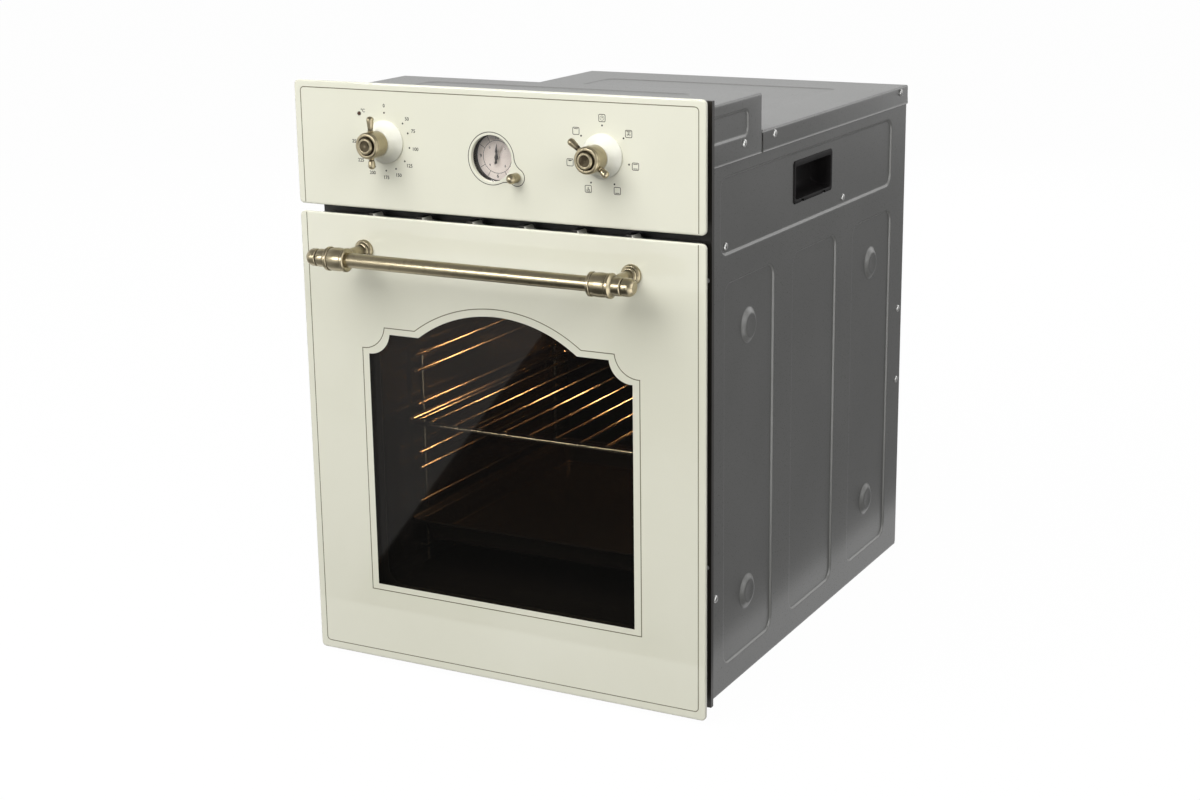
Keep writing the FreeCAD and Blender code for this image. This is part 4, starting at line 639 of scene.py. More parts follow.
# %% Control panel pane
THERMOSTAT, SELECTOR = (-118.5, 544.0), (118.5, 544.0)
CLOCK, SETTER, PILOT = (0.0, 534.7), (27.5, 518.5), (-147.5, 570.0)
CHAMFER = 0.4
bores = (
    (SELECTOR, 4.0, 32), (THERMOSTAT, 4.0, 32), (CLOCK, 22.0, 96), (SETTER, 3.0, 24), (PILOT, 1.9, 20),
)
form = Form()
rear, front = ground_edge(form, 477.5, 600)
outer, inner = [front], [rear]
for centre, radius, count in bores:
    section = (
        (radius + 0.9, GLASS), (radius + CHAMFER, GLASS),
        (radius, GLASS + CHAMFER), (radius, GLASS_BACK),
    )
    rings = [form.ring([(u, y, v) for u, v in circle(centre, r, count)]) for r, y in section]
    form.loft(rings)
    outer.append(rings[0])
    inner.append(rings[-1])
form.cap(outer)
form.cap(inner)
piece("panel_pane", form.made("panel_pane", ["cream_glass"]), "casing", "cream_glass", "control_panel")

form = Form()
PANEL_BORDER, PANEL_FOOT = 215.7, 479.2
border = rounded_loop((-PANEL_BORDER, 300), (PANEL_BORDER, 593.2), 4)
border = [(u, v) for u, v in border if v > 450]
border = [(PANEL_BORDER, PANEL_FOOT), *border, (-PANEL_BORDER, PANEL_FOOT)]
ribbon(form, border, LINE, GLASS, closed=False)
piece("panel_line", form.made("panel_line", ["print_brown"]), "casing", "cream_glass")

# %% [markdown]
# A printed ring runs round the clock and flows into a lobe round its setting knob. It could be drawn by
# eye, but two circles joined by tangent arcs have no kinks, and the tangent points can be worked out.


# %% Clock ring
def lobed_ring(centre, radius, lobe, lobe_radius, blend):
    """The outline of two circles with a hollow curve on each side between them."""
    dx, dy = lobe[0] - centre[0], lobe[1] - centre[1]
    apart, lean = hypot(dx, dy), atan2(dy, dx)
    a, b = radius + blend, lobe_radius + blend
    along = (a * a - b * b + apart * apart) / (2 * apart)
    off = (a * a - along * along) ** 0.5

    def at(u, v):
        return centre[0] + u * cos(lean) - v * sin(lean), centre[1] + u * sin(lean) + v * cos(lean)

    def mirrored(point):
        return point[0], -point[1]

    leave = along * radius / a, off * radius / a
    join = apart + (along - apart) * lobe_radius / b, off * lobe_radius / b
    du, dv = along - (leave[0] + join[0]) / 2, off - (leave[1] + join[1]) / 2
    toward = hypot(du, dv)
    mid = along - du * blend / toward, off - dv * blend / toward
    path = [leave, *arc(leave, mid, join, 10)]
    path += arc(join, (apart + lobe_radius, 0.0), mirrored(join), 24)
    path += arc(mirrored(join), mirrored(mid), mirrored(leave), 10)
    path += arc(mirrored(leave), (-radius, 0.0), leave, 72)[:-1]
    return [at(u, v) for u, v in path]


clock_ring = lobed_ring(CLOCK, 25.0, SETTER, 8.4, 14.0)
print("the ring round the clock has", len(clock_ring), "points")

# %% [markdown]
# The rest of the panel's print is the temperature scale and seven small symbols. A symbol is a rounded
# square with a few strokes in it for the fan, the heaters and the timer, so each is a list of its parts.


# %% Panel print
def symbol(form, centre, parts):
    """A rounded square with simple strokes in it, in print."""
    x, z = centre
    half, middle = 3.3, (x, z - 0.2)
    ribbon(form, rounded_loop((x - half, z - half), (x + half, z + half), 1.1, 4), 0.58, GLASS)
    for part in parts:
        if part == "fan":
            for turn in (0, 120, 240):
                left, right = polar(middle, 1.45, turn - 28), polar(middle, 1.45, turn + 28)
                ribbon(form, [middle, right, polar(middle, 1.9, turn), left], 0.3, GLASS)
        elif part == "timer":
            ribbon(form, circle(centre, 2.0, 24), 0.32, GLASS)
            ribbon(form, [(x, z + 1.4), (x, z), (x + 0.9, z + 0.5)], 0.45, GLASS, closed=False)
        else:
            reach, level = part
            ribbon(form, [(x - reach, z + level), (x + reach, z + level)], 0.6, GLASS, closed=False)


SCALE_RADIUS, FIGURE = 34.7, 3.4
SEVENTH = 360 / 7
scale = {
    "0": 0, "50": 48, "75": 70, "100": 99, "125": 129,
    "150": 156, "175": 180, "200": 207, "225": 236, "250": 268,
}
TOP_HEAT, BOTTOM_HEAT, GRILL = (2.2, 2.1), (2.2, -2.1), (1.4, 1.5)
functions = (
    ["timer"], ["fan", TOP_HEAT], [TOP_HEAT, BOTTOM_HEAT], [BOTTOM_HEAT],
    ["fan", BOTTOM_HEAT], [TOP_HEAT, GRILL], [TOP_HEAT],
)
form = Form()
figures = [(text, *polar(THERMOSTAT, SCALE_RADIUS, angle), FIGURE) for text, angle in scale.items()]
written(form, [*figures, ("°C", -143.0, 572.9, FIGURE)], GLASS)
for k, parts in enumerate(functions):
    symbol(form, polar(SELECTOR, SCALE_RADIUS, SEVENTH * k), parts)
ribbon(form, clock_ring, 0.7, GLASS)
piece("panel_print", form.made("panel_print", ["print_dark"]), "casing", "cream_glass")

# %% [markdown]
# Small things that repeat are made with Geometry Nodes: one plan with named sizes, used many times.
# A plan takes points or lines, does the same work on each, and ends in plain geometry with a finish.
# The first plan sets a printed dot on every point of the two scales.


# %% Plans with named sizes
class Plan:
    """A Geometry Nodes tree with named sizes; each node is made from its type, settings and inputs."""

    def __init__(self, name, **sizes):
        self.tree = bpy.data.node_groups.new(name, "GeometryNodeTree")
        face = self.tree.interface
        face.new_socket("Geometry", in_out="INPUT", socket_type="NodeSocketGeometry")
        face.new_socket("Geometry", in_out="OUTPUT", socket_type="NodeSocketGeometry")
        self.keys = {}
        for key, kind in sizes.items():
            socket = face.new_socket(key, in_out="INPUT", socket_type="NodeSocket" + kind)
            self.keys[key] = socket.identifier
        self.given = self.tree.nodes.new("NodeGroupInput").outputs

    def node(self, kind, settings=None, sockets=None, out=0):
        made = add_node(self.tree, kind, settings, sockets)
        return made.outputs[out] if made.outputs else made

    def end(self, geometry):
        whole = self.node("GeometryNodeRealizeInstances", None, {"Geometry": geometry})
        smooth = self.node("GeometryNodeSetShadeSmooth", None, {0: whole})
        coat = {"Geometry": smooth, "Material": self.given["Finish"]}
        self.node("NodeGroupOutput", None, {0: self.node("GeometryNodeSetMaterial", None, coat)})

    def end_on_points(self, shape, **turn):
        """The end of a plan that sets one shape on each point."""
        sockets = {"Points": self.given["Geometry"], "Instance": shape, **turn}
        self.end(self.node("GeometryNodeInstanceOnPoints", None, sockets))

    def grown(self, name, points, edges=(), sharp=40, **values):
        """Runs the plan on points and lines in millimetres and gives a plain mesh."""
        drawn = bpy.data.meshes.new(name)
        drawn.from_pydata([[c * 0.001 for c in p] for p in points], edges, [])
        carrier = linked(name, drawn)
        modifier = carrier.modifiers.new(name, "NODES")
        modifier.node_group = self.tree
        for key, value in values.items():
            modifier[self.keys[key]] = value
        mesh = plain_mesh(carrier, name)
        mesh.set_sharp_from_angle(angle=radians(sharp))
        return mesh


DOT_RADIUS = 28.0
dots = Plan("printed_dots", Radius="Float", Depth="Float", Finish="Material")
sizes = {"Vertices": 20, "Radius": dots.given["Radius"], "Depth": dots.given["Depth"]}
disc = dots.node("GeometryNodeMeshCylinder", None, sizes)
dots.end_on_points(disc, Rotation=(pi / 2, 0.0, 0.0))
spots = [polar(THERMOSTAT, DOT_RADIUS, angle) for angle in scale.values()]
spots += [polar(SELECTOR, DOT_RADIUS, SEVENTH * k) for k in range(7)]
spots = [(x, GLASS, z) for x, z in spots]
mesh = dots.grown("scale_dots", spots, Radius=0.0009, Depth=0.0001, Finish=finishes["print_dark"])
piece("scale_dots", mesh, "casing", "cream_glass")

# %% [markdown]
# In the gap under the panel, the top rail of the door shows between its air slots. Each land is pressed
# up a little and rolls down into the next slot, and there its black coat is painted nearly white: a
# painted highlight for the glint on the bend. A land is an outline drawn once and carried back along
# the rail's depth.

# %% Rail lands
RAIL, LAND, ROLL = 467.0, 471.8, 4.0
FIRST_LAND, LAND_PITCH, LAND_WIDTH = -204.0, 57, 9.0
RAIL_FRONT, RAIL_BACK, RAIL_FOOT = -304, -289, RAIL - 0.3
form = Form()
for n in range(1, 7):
    left = FIRST_LAND + LAND_PITCH * n
    right = left + LAND_WIDTH
    outline = [(left, RAIL, 0), (left + 0.6, LAND - 1.4, 0)]
    outline += [(left + 1.4, LAND - 0.2, 0), (left + 2.6, LAND, 0)]
    for step in range(9):
        a = radians(step * 11.25)
        # The bend of the roll and the lip after it take the painted highlight.
        painted_highlight = float(2 < step)
        outline.append((right - ROLL + ROLL * sin(a), LAND - ROLL + ROLL * cos(a), painted_highlight))
    outline += [(right + 0.2, RAIL + 0.25, 1.0), (right + 2.0, RAIL + 0.2, 1.0)]
    outline.append((right + 2.1, RAIL - 0.2, 0))
    rings = []
    for x, z, painted_highlight in outline:
        section = [(RAIL_FRONT, z), (RAIL_BACK, z), (RAIL_BACK, RAIL_FOOT), (RAIL_FRONT, RAIL_FOOT)]
        rings.append(form.ring([(x, *point) for point in section], painted_highlight))
    form.loft(rings)
    form.cap(rings[:1])
    form.cap(rings[-1:])
piece("rail_lands", form.made("rail_lands", ["black_sheet"], 35), "door", "black_sheet")

# %% [markdown]
# Knobs, rosettes, posts and handle caps are turned on a lathe, so each is an outline swung round an axis.
# Real corners are never perfectly sharp: every corner of the outline is eased by a small curve, and the
# outline also notes whether it is a ridge or a groove, which the brass uses for its tarnish.


# %% A lathe
def eased(outline, ease, steps=4):
    """An outline of (along, radius) corners, or arcs with a middle point, as (along, radius, wear)."""
    points = [outline[0][:2]]
    for corner in outline[1:]:
        points += arc(points[-1], corner[2:], corner[:2], 10) if len(corner) == 4 else [corner[:2]]
    smooth = [(*points[0], 0.0)]
    for a, p, b in zip(points, points[1:], points[2:]):
        ins, outs = Vector(p) - Vector(a), Vector(b) - Vector(p)
        if min(ins.length, outs.length) < 1e-6:
            continue
        bend = -ins.normalized().cross(outs.normalized())
        if abs(bend) < 0.2:
            smooth.append((*p, bend))
            continue
        start = Vector(p) - ins.normalized() * min(ease, ins.length * 0.45)
        end = Vector(p) + outs.normalized() * min(ease, outs.length * 0.45)
        for i in range(steps + 1):
            t = i / steps
            q = start * (1 - t) ** 2 + Vector(p) * 2 * t * (1 - t) + end * t * t
            smooth.append((q.x, q.y, bend))
    return smooth + [(*points[-1], 0.0)]


def swung(form, outline, centre, axis, sides):
    """Swings an outline round an axis; a radius of nothing closes it with a point."""
    axis, centre = Vector(axis), Vector(centre)
    side = Vector((0, 0, 1)) if abs(axis.z) < 0.5 else Vector((1, 0, 0))
    side = (side - axis * side.dot(axis)).normalized()
    over = axis.cross(side)
    turns = [2 * pi * k / sides for k in range(sides)]
    rings, reach, lengths = [], 0.0, []
    for i, (along, radius, wear) in enumerate(outline):
        middle = centre + axis * along
        if i:
            reach += hypot(along - outline[i - 1][0], radius - outline[i - 1][1]) * 0.001
        lengths.append(reach)
        if radius < 1e-4:
            rings.append(form.ring([tuple(middle)], wear) * sides)
            continue
        points = [tuple(middle + (side * cos(t) + over * sin(t)) * radius) for t in turns]
        rings.append(form.ring(points, wear))
    for k in range(len(rings) - 1):
        form.bridge(rings[k], rings[k + 1], True, (lengths[k], lengths[k + 1]))


def turned_piece(name, outline, places, sides, sharp, *fate):
    """A piece of one outline swung at each place; fate is its body, its slot and what it replaces."""
    form = Form()
    for centre, axis in places:
        swung(form, outline, centre, axis, sides)
    piece(name, form.made(name, [fate[1]], sharp), *fate)


def on_panel(point):
    """A place on the front of the glass, with the axis that comes straight out of it."""
    return (point[0], GLASS, point[1]), (0, -1, 0)


cone = [(0, 3.6), (0, 20.8), (1.6, 20.8), (2.4, 19.9), (13.5, 13, 6.75, 16.2), (13.5, 3.6), (0, 3.6)]
seats = [on_panel(THERMOSTAT), on_panel(SELECTOR)]
turned_piece("rosettes", eased(cone, 0.8, 6), seats, 96, 60, "casing", "cream_plastic", "knob_rosettes")

# %% [markdown]
# A lever knob is a brass hub with a stepped face and two levers, one long and one short, that look like
# old tap handles. The levers swell to rounded ends. Hub and levers are turned shapes on crossing axes,
# so the lathe makes them all. The second knob is turned to another position.

# %% Lever knobs
LEVER_Y, LONG, SHORT = -334.4, 27.4, 23.3
# The flat front of each hub is marked like a groove, so the brass paints it darker: painted shade for the
# dark reflection it shows.
FACE_START, FACE_RADIUS, FACE_PAINTED_SHADE = 31.8, 10.2, 0.55
HUB = [
    (13.9, 0), (13.9, 12.1), (14.9, 12.7), (29.5, 12.7), (30.1, 12.2), (30.7, 12.7), (31.6, 12.5),
    (33.1, 10.5, 32.7, 11.8), (33.1, 9.4), (32.1, 8.8), (32.1, 8.0), (34.2, 7.8), (35.3, 7.6),
    (35.9, 6.9), (35.9, 5.6), (35.55, 5.2), (35.55, 0),
]


def in_face(along, radius):
    return along > FACE_START and radius < FACE_RADIUS


def lever_knob(name, centre, turn, body, node):
    form = Form()
    hub = [(a, r, bend - FACE_PAINTED_SHADE if in_face(a, r) else bend) for a, r, bend in eased(HUB, 0.3)]
    swung(form, hub, *on_panel(centre), 96)
    for reach, sign in ((LONG, 1), (SHORT, -1)):
        end = reach - 3.4
        lever = [(6, 0), (6, 2.5), (12.4, 2.5), (13.6, 3.0), (14.4, 2.35), (end - 4, 3.15), (end, 3.6)]
        lever += [(reach, 0.4, reach - 1.0, 2.7), (reach, 0)]
        up = Vector((sin(radians(turn)) * sign, 0, cos(radians(turn)) * sign))
        swung(form, eased(lever, 0.25), (centre[0], LEVER_Y, centre[1]), up, 40)
    piece(name, form.made(name, ["antique_brass"], 50), body, "antique_brass", node)


lever_knob("thermostat_lever", THERMOSTAT, 0.0, "thermostat_control", "thermostat_knob")
lever_knob("selector_lever", SELECTOR, -SEVENTH, "selector_control", "selector_knob")

# %% [markdown]
# The handle is a drawn tube between two turned caps, on two posts that spring from small rosettes.
# In the caps, each collar, barrel and groove is a few corners of one outline.

# %% Handle
BAR_Y, BAR_Z = -362.0, 436.0
TUBE, CAP_X, POST_X = 138, 131.5, 147.6
ON_DOOR = ("door", "antique_brass")
tube = eased([(0, 0), (0, 7.2), (2 * TUBE, 7.2), (2 * TUBE, 0)], 0.2)
places = [((-TUBE, BAR_Y, BAR_Z), (1, 0, 0))]
turned_piece("handle_tube", tube, places, 64, 50, *ON_DOOR, "handle_bar")

cap = [
    (0, 7.0), (0, 10.2), (0.8, 11.5), (3.3, 11.6), (4.0, 10.9), (4.6, 10.9), (18.4, 10.9, 11.5, 11.45),
    (19.0, 10.7), (19.7, 11.75), (22.6, 11.8), (23.3, 10.4), (24.6, 8.9), (25.4, 8.6),
    (32.8, 8.6, 29.0, 8.8), (33.7, 7.4), (34.6, 7.4), (35.4, 8.6), (40.0, 8.5),
    (44.7, 6.2, 42.8, 7.7), (45.5, 5.2), (45.5, 1.2), (45.3, 0),
]
places = [((sign * CAP_X, BAR_Y, BAR_Z), (sign, 0, 0)) for sign in (-1, 1)]
turned_piece("turned_caps", eased(cap, 0.3), places, 72, 50, *ON_DOOR, "handle_caps")

post = [
    (0, 0), (0, 9.9), (0.6, 10.2), (2.0, 10.2), (4.3, 8.4, 3.6, 9.6), (5.1, 7.4), (5.5, 7.4),
    (6.3, 7.9), (7.7, 6.4, 7.3, 7.3), (8.6, 5.5), (48.5, 5.5), (48.5, 0),
]
places = [on_panel((sign * POST_X, BAR_Z)) for sign in (-1, 1)]
turned_piece("turned_posts", eased(post, 0.3), places, 56, 50, *ON_DOOR, "handle_posts")

# %% [markdown]
# The clock sits behind its hole in the glass: a pale dial with a printed ring, three hands of pressed
# metal with leaf-shaped blades, and a brass setting knob that comes out through the lobe of the print.
# Each hand turns on its own body, so each is a piece of its own, a thin plate with eased edges.

# %% Clock
DIAL_FACE, DIAL_LINE = -298.0, 0.45
RING, RIM = 15.6, 21.8
HAND_WALL, HAND_EASE = 0.4, 0.08


def hand_blade(length, tail, width, hub):
    """A leaf blade with a slim tail, upright, as an outline of (x, z) points."""
    half = [(width * 0.42, -tail), (width * 0.24, -tail * 0.45)]
    half += [(hub * 0.75, -hub * 0.66), (hub, 0), (hub * 0.75, hub * 0.66)]
    half += [(width * 0.3, length * 0.34), (width * 0.62, length * 0.55)]
    half += [(width * 0.5, length * 0.72), (width * 0.12, length)]
    return half + [(-x, z) for x, z in half[::-1]]


def plate(form, outline, front, back, ease):
    """A flat shape with eased front edges, from its outline of (x, z) points."""
    rings = [form.ring([(x, back, z) for x, z in outline])]
    for inset, y in ((0, front + ease), (ease * 0.3, front + ease * 0.3), (ease, front)):
        rings.append(form.ring([(x, y, z) for x, z in shifted(outline, -inset)]))
    form.loft(rings)
    form.cap(rings[:1])
    form.cap(rings[-1:])


for name, sizes, angle, y, slot in (
    ("minute_hand", (13.0, 6.5, 1.5, 1.3), 6.0, -301.8, "hand_black"),
    ("hour_hand", (9.5, 6.0, 2.3, 2.0), 0.5, -300.6, "hand_black"),
    ("alarm_hand", (13.5, 7.0, 0.9, 2.6), 28.0, -299.4, "hand_light"),
):
    c, s = cos(radians(angle)), sin(radians(angle))
    blade = [(x * c + z * s, CLOCK[1] + z * c - x * s) for x, z in hand_blade(*sizes)]
    form = Form()
    plate(form, blade, y, y + HAND_WALL, HAND_EASE)
    piece(name + "_blade", form.made(name + "_blade", [slot]), name, slot, name)

form = Form()
ribbon(form, circle(CLOCK, RING, 72), DIAL_LINE, DIAL_FACE)
for hour in (1, 2, 4, 5, 7, 8, 10, 11):
    ends = [polar(CLOCK, r, 30 * hour) for r in (RING, RIM)]
    ribbon(form, ends, DIAL_LINE, DIAL_FACE, closed=False)
hours = [(str(hour), *polar(CLOCK, 18.3, 30 * hour), FIGURE) for hour in (3, 6, 9, 12)]
signs = [(text, *polar(CLOCK, 11.8, angle), 2.4) for text, angle in zip("3690", (45, 135, 225, 315))]
written(form, hours + signs, DIAL_FACE)
piece("dial_print", form.made("dial_print", ["print_dark"]), "casing", "dial_white")

knob = [
    (-34, 0), (-34, 2), (0.6, 2), (0.6, 4.3), (1.2, 4.8), (9.6, 4.8), (10.2, 4.55), (10.9, 4.8),
    (11.4, 4.7), (15.0, 0.5, 13.9, 3.2), (15.0, 0),
]
fate = ("clock_setter", "antique_brass", "clock_knob")
turned_piece("setting_knob", eased(knob, 0.25), [on_panel(SETTER)], 48, 50, *fate)

# %% [markdown]
# The casing is thin sheet, stiffened by pressing shallow fields into it. A pressed field is a rounded
# rectangle whose edge sinks in an S over two millimetres. The sheet is drawn as one skin, with the
# fields, buttons and holes in it, and a Solidify modifier then gives it its thickness.

# %% Pressed sheet
PRESS_DEPTH, SHEET = 2.0, 1.0
PRESS = [(2.2 * t - 0.3, PRESS_DEPTH * t * t * (3 - 2 * t)) for t in (i / 8 for i in range(9))]
BUTTON = (
    (20, 0), (19, 0), (18.2, 0.1), (17.2, 0.5), (15.6, 1.55), (14, 2.65),
    (12.8, 3.25), (11.6, 3.5), (10.4, 3.55), (8, 3.4), (4, 3.2),
)
BUTTON_TOP, BUTTON_SIDES = 3.15, 40


def pressed_field(form, lay, low, high, corner, deep=1.0):
    """Sinks a field into a sheet; lay puts (u, v, height) on the piece. Gives its land and floor rings."""
    rings = []
    for inset, depth in ((-1.5, 0.0), *PRESS, (3.2, PRESS_DEPTH)):
        loop = inset_loop(low, high, corner, inset, 10)
        sunk = depth / PRESS_DEPTH
        slope = 4 * sunk * (1 - sunk)
        # The slope of the S is marked, most in its middle, so the grey coat paints it paler: a painted
        # highlight for the light the pressed edges catch.
        rings.append(form.ring([lay(u, v, -depth * deep) for u, v in loop], deep * slope ** 0.5))
    form.loft(rings)
    return rings[0], rings[-1]


def button(form, lay, centre):
    """A round spacer pushed out of a field's floor, with a faint dish in its top."""
    rings = []
    for radius, height in BUTTON:
        loop = circle(centre, radius, BUTTON_SIDES)
        # The flank of the button is marked so the grey coat paints it paler: a painted highlight.
        wear = 0.55 if 12 < radius < 18 else 0.0
        rings.append(form.ring([lay(u, v, height - PRESS_DEPTH) for u, v in loop], wear))
    form.loft(rings)
    form.bridge(rings[-1], form.ring([lay(*centre, BUTTON_TOP - PRESS_DEPTH)]) * BUTTON_SIDES)
    return rings[0]


def thickened(name, mesh, wall):
    """The sheet with its wall, behind the face that shows, as a plain mesh."""
    carrier = linked(name, mesh)
    solid = carrier.modifiers.new("wall", "SOLIDIFY")
    solid.thickness, solid.offset, solid.use_even_offset = wall * 0.001, -1.0, True
    done = plain_mesh(carrier, name)
    done.set_sharp_from_angle(angle=radians(50))
    return done


print("a pressed edge is", len(PRESS), "rings deep")

# %% [markdown]
# Each side of the casing has three tall fields, and a long one above them with the pocket to carry the
# oven by. In the outer two, round buttons keep the oven off its cabinet. One function draws
# both sides, and the left one is only laid the other way round.

# %% Side panels
SIDE_X = 203.0
LONG_FIELD = ((-235, 442.5), (228, 517.5))
POCKET = ((-51, 467), (47, 505))
TALL_FIELDS = ((-225, -105, -165), (-57, 63, None), (111, 231, 171))
TALL_LOW, TALL_HIGH, FIELD_CORNER = 26, 415, 14


def side_sheet(side):
    form = Form()

    def lay(u, v, height):
        return side * (SIDE_X + height), u, v

    rings = []
    for inset, height in ((0.0, -3.0), (0.0, -2.0), (0.25, -1.0), (0.9, -0.25), (2.0, 0.0), (4.0, 0.0)):
        loop = inset_loop((-275, 0), (275, 548.4), 4.5, inset, 4)
        rings.append(form.ring([lay(u, v, height) for u, v in loop]))
    form.loft(rings)
    land, floor = pressed_field(form, lay, *LONG_FIELD, FIELD_CORNER)
    lands = [land]
    pocket = form.ring([lay(u, v, -PRESS_DEPTH) for u, v in rounded_loop(*POCKET, 3, 6)])
    form.cap([floor, pocket])
    for low, high, buttons in TALL_FIELDS:
        land, floor = pressed_field(form, lay, (low, TALL_LOW), (high, TALL_HIGH), FIELD_CORNER)
        lands.append(land)
        holes = [button(form, lay, (buttons, z)) for z in (87, 363)] if buttons else []
        form.cap([floor, *holes])
    form.cap([rings[-1], *lands])
    return form


for side, name in ((1, "side_panel_right"), (-1, "side_panel_left")):
    sheet = side_sheet(side).made(name + "_sheet", ["grey_sheet"], 50, (side, 0, 0))
    piece(name + "_sheet", thickened(name + "_sheet", sheet, SHEET), "casing", "grey_sheet", name)

# %% [markdown]
# The roof of the casing is two lids: a raised one over the controls, and a flat one behind it. Each lid
# is a stack of rings, up from a flared hem and over a rounded bend, and its lower edge has another
# height on each side. A box with a bevel would be quicker, but it has neither the hem nor the steps.

# %% Lids
LID_X, LID_CORNER, LID_STEPS = 204.0, 2.2, 6
HEM = ((-0.35, 0.0), (-0.4, 0.2), (-0.32, 0.5), (-0.12, 1.0), (0.0, 1.5), (0.0, 2.6))
BEND = ((0.0, 3.2), (0.0, 2.0), (0.15, 1.24), (0.58, 0.58), (1.24, 0.15), (2.0, 0.0), (4.0, 0.0))


def sunk_fields(form, lay, fields, deep):
    """Presses fields with closed floors, and gives their land rings."""
    lands = []
    for field in fields:
        land, floor = pressed_field(form, lay, *field, deep=deep)
        form.cap([floor])
        lands.append(land)
    return lands


def lid(name, front, back, top, drop, fields, side_fields=()):
    """A sheet lid; drop gives the height of its lower edge at a point of its outline."""
    form = Form()
    low, high = (-LID_X, front), (LID_X, back)
    loop = rounded_loop(low, high, LID_CORNER, LID_STEPS)
    hem = []
    for inset, lift in HEM:
        small = inset_loop(low, high, LID_CORNER, inset, LID_STEPS)
        points = [(u, v, drop(at[1]) + lift) for (u, v), at in zip(small, loop)]
        # The lowest rings of the hem are marked so the grey coat paints them paler: a painted highlight
        # along the lower edge.
        hem.append(form.ring(points, 0.8 if lift < 0.8 else 0.0))
    form.loft(hem)
    wall = [hem[-1]]
    for inset, down in BEND:
        small = inset_loop(low, high, LID_CORNER, inset, LID_STEPS)
        points = [(u, v, max(top - down, drop(at[1]) + 2.7)) for (u, v), at in zip(small, loop)]
        wall.append(form.ring(points))
    for k, (u, v) in enumerate(loop):
        n = (k + 1) % len(loop)
        if side_fields and abs(v - loop[n][1]) > 20:
            side = 1 if u > 0 else -1
            lands = sunk_fields(form, lambda u, v, h: (side * (LID_X + h), u, v), side_fields, 0.8)
            form.cap([[wall[0][k], wall[0][n], wall[1][n], wall[1][k]], *lands])
        else:
            form.bridge([wall[0][k], wall[0][n]], [wall[1][k], wall[1][n]], closed=False)
    form.loft(wall[1:])
    form.cap([wall[-1], *sunk_fields(form, lambda u, v, h: (u, v, top + h), fields, 0.4)])
    mesh = thickened(name, form.made(name, ["grey_sheet"], 50, (0, 0, 1)), SHEET)
    return name, mesh, "casing", "grey_sheet"


def rear_drop(y):
    if y < -138.9:
        return 548.5
    return 536.0 if y > 275.0 else 529.0


def front_drop(y):
    if y < -277.9:
        return 585.5
    return 548.9 if y > -142.2 else 529.0


roof_field = ((-146, -115), (146, 210), FIELD_CORNER)
piece(*lid("rear_lid", -141, 276, 550.0, rear_drop, [roof_field]), "top_panel")
cover_field, cheek_field = ((-150, -245), (150, -175), FIELD_CORNER), ((-264, 550), (-173, 576), 8)
piece(*lid("control_lid", -279, -141, 587.0, front_drop, [cover_field], [cheek_field]), "control_cover")

# %% [markdown]
# Each side has a pocket to carry the oven by: a black moulding with a rounded bezel, a hood over the
# fingers and two small notches in its lower lip, where it snaps into the sheet. It is a loft of rings,
# from the bezel's edge inwards to the floor of the pocket, and then one from the edge round the back.

# %% Carrying grips
GRIP_LOW, GRIP_HIGH, GRIP_MIDDLE = (-54, 464), (50, 508), -2
NOTCH_X = 29
NOTCH = ((-3.4, 0), (-2.8, 1), (2.8, 1), (3.4, 0))
# Inset of the ends, of the lower edge and of the upper edge, corner, x, depth of the notches.
POCKET_RINGS = (
    (0.0, 0.0, 0.0, 4.0, 201.0, 2.7), (0.0, 0.0, 0.0, 4.0, 201.4, 2.7), (0.15, 0.15, 0.15, 3.9, 201.8, 2.7),
    (0.5, 0.5, 0.5, 3.6, 202.0, 2.5), (3.4, 3.2, 4.8, 3.0, 202.0, 0.0), (4.4, 4.2, 6.0, 3.0, 201.7, 0.0),
    (5.0, 4.8, 6.8, 3.0, 199.5, 0.0), (5.2, 5.2, 6.2, 3.0, 196.0, 0.0), (5.2, 5.8, 5.2, 3.0, 188.0, 0.0),
    (5.4, 8.0, 5.2, 3.0, 182.5, 0.0), (6.6, 11.5, 6.6, 2.4, 179.4, 0.0), (8.6, 13.5, 8.6, 2.0, 179.0, 0.0),
)
BACK_RINGS = (
    (0.6, 0.6, 0.6, 3.4, 201.0, 0.0), (3.2, 3.2, 3.2, 3.0, 201.0, 0.0),
    (3.2, 3.2, 3.2, 3.0, 178.0, 0.0), (4.4, 4.4, 4.4, 2.4, 177.0, 0.0),
)


def notched(shape, deep):
    """The outline with two small notches in its lower edge."""
    low, points = min(v for _, v in shape), []
    for (u, v), (u1, v1) in zip(shape, shape[1:] + shape[:1]):
        points.append((u, v))
        if abs(v - low) < 0.01 and abs(v1 - low) < 0.01 and abs(u1 - u) > 20:
            way = 1 if u1 > u else -1
            for middle in (GRIP_MIDDLE - NOTCH_X * way, GRIP_MIDDLE + NOTCH_X * way):
                points += [(middle + way * step, low + rise * deep) for step, rise in NOTCH]
    return points


def grip_ring(form, side, ends, lower, upper, corner, x, deep):
    low = GRIP_LOW[0] + ends, GRIP_LOW[1] + lower
    high = GRIP_HIGH[0] - ends, GRIP_HIGH[1] - upper
    shape = notched(rounded_loop(low, high, corner, 6), deep)
    return form.ring([(side * x, u, v) for u, v in shape])


form = Form()
for side in (1, -1):
    rings = [grip_ring(form, side, *row) for row in POCKET_RINGS]
    form.loft(rings)
    form.cap(rings[-1:])
    back = [grip_ring(form, side, *row) for row in BACK_RINGS]
    form.loft([rings[0], *back])
    form.cap(back[-1:])
mesh = form.made("grip_pockets", ["black_plastic"], 50)
piece("grip_pockets", mesh, "casing", "black_plastic", "carry_grips")

# %% [markdown]
# The racks, the shelf and the heaters are all rod, bent and welded. A rod is a line with a round section
# swept along it and its corners rounded by a bend radius, which is just what a plan can do: draw
# the lines, round the corners, sweep the section, close the ends.

